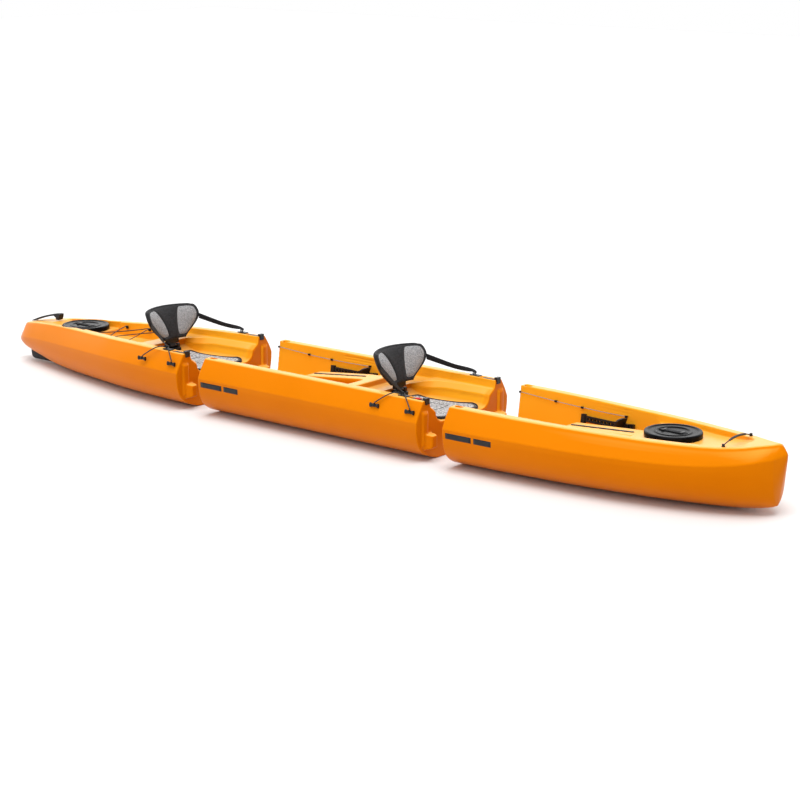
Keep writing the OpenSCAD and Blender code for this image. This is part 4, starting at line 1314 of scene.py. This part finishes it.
def add_back_trim(section, front, body):
    """Piping round the edge, stitching round the panels, and the hinge block at the foot."""
    piping = tube(section + "_back_piping", smooth_path(back_loop(front, 0.0030, 0.16), 0.003), 0.0023, 10)
    place(piping, PIPING, body, "back_padding")
    for name, side in (("port", 1), ("stbd", -1)):
        outline = smooth_path(panel_loop(front, side, 0.0008, 0.05), 0.003)
        welt = tube(f"{section}_back_welt_{name}", outline, 0.0017, 8)
        place(welt, PIPING, body, "back_padding")
        thread = stitches(f"{section}_back_stitch_{name}", panel_loop(front, side, 0.0045, -0.08))
        place(thread, STITCH, body, "back_padding")
    x, z = front + HINGE_X, HINGE_Z
    foot = tube(section + "_back_barrel", [(x, y, z) for y in np.linspace(-0.026, 0.026, 5)], 0.0088, 32)
    unite(foot,
          block("foot", (x - 0.0075, -0.0255, z + 0.001), (x + 0.0055, 0.0255, z + 0.018), 0.002),
          block("foot", (x - 0.0078, -0.0480, z + 0.0135), (x + 0.0055, 0.0480, z + 0.0460), 0.004))
    place(foot, NYLON, body, "black_fittings")


backrest("mid", MID_FRONT)
backrest("stern", STERN_FRONT)

# ---------- Straps ----------


def strap(name, path, widths, thickness):
    """A flat band along a path; widths are the half-width vectors at each point."""
    rings = []
    for i, (point, half) in enumerate(zip(path, widths)):
        face = heading(path, i).cross(half).normalized() * (thickness / 2)
        rings.append([point + half * a + face * b
                      for a, b in ((-1, -0.6), (-0.96, -1), (0.96, -1), (1, -0.6), (1, 0.6), (0.96, 1),
                                   (-0.96, 1), (-1, 0.6))])
    return loft(name, rings)


def back_strap(section, front, name, side):
    start = Vector((front - 0.376, side * 0.1815, 0.386))
    middle = Vector((front - 0.245, side * 0.2425, 0.344))
    end = Vector((front - 0.156, side * 0.288, 0.3255))
    foot = Vector((front - 0.147, side * 0.293, 0.3125))
    path = smooth_path([start, middle, end, foot], 0.006)
    widths = []
    for i in range(len(path)):
        along = i / (len(path) - 1)
        turn = max(0.0, (along - 0.60) / 0.40) ** 1.3 * math.pi / 2
        half = 0.0150 * (1 - along) + 0.0098 * along
        widths.append(Vector((0, side * math.sin(turn) * half, math.cos(turn) * half)))
    band = strap(f"{section}_strap_{name}", path, widths, 0.0018)
    finish_surface(band, WEBBING)
    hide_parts(f"{section}_back_strap_{name}")
    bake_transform(band)


for section, front in (("mid", MID_FRONT), ("stern", STERN_FRONT)):
    for side_name, side in (("port", 1), ("stbd", -1)):
        back_strap(section, front, side_name, side)

# ---------- Small details: the red tab, and plain decals where the real hull is marked ----------


def surface_patch(name, hull, corners, steps, lift, thickness):
    """A thin sheet laid on the hull's starboard side: corners give x and height at start and end."""
    (x0, x1), (z0, z1) = corners
    columns, rows = steps
    face, rear = [], []
    for z in np.linspace(z0, z1, rows + 1):
        for x in np.linspace(x0, x1, columns + 1):
            hit, point, normal, _ = hull.ray_cast(Vector((x, -0.6, z)), Vector((0, 1, 0)))
            face.append(point + normal * (lift + thickness))
            rear.append(point + normal * lift)
    return grid_shell(name, face, rear, rows, columns)


# Each bar's start and length along the hull, and the height of them all
BARS = [(0.0, 0.150), (0.165, 0.100)]
BAR_HEIGHT = (0.160, 0.188)


def add_bars(section, hull, start):
    """A row of plain bars, of no letters, as the generic stand-in for the marking."""
    for index, (offset, length) in enumerate(BARS):
        span = (start + offset, start + offset + length)
        bar = surface_patch(f"{section}_bar_{index}", hull, (span, BAR_HEIGHT), (8, 4), 0.0002, 0.0004)
        place(bar, DECAL, section + "_section", "hull_plastic")


for section, rear in (("mid", MID_REAR), ("bow", BOW_REAR)):
    add_bars(section, bpy.data.objects[section + "_shell"], rear + 0.020)


def add_red_tab():
    x = MID_FRONT
    tab = block("red_tab", (x - 0.066, -0.2985, 0.3012), (x - 0.040, -0.2775, 0.3062), 0.0016)
    place(tab, RED, "mid_latch_stbd_body", "black_fittings")


add_red_tab()
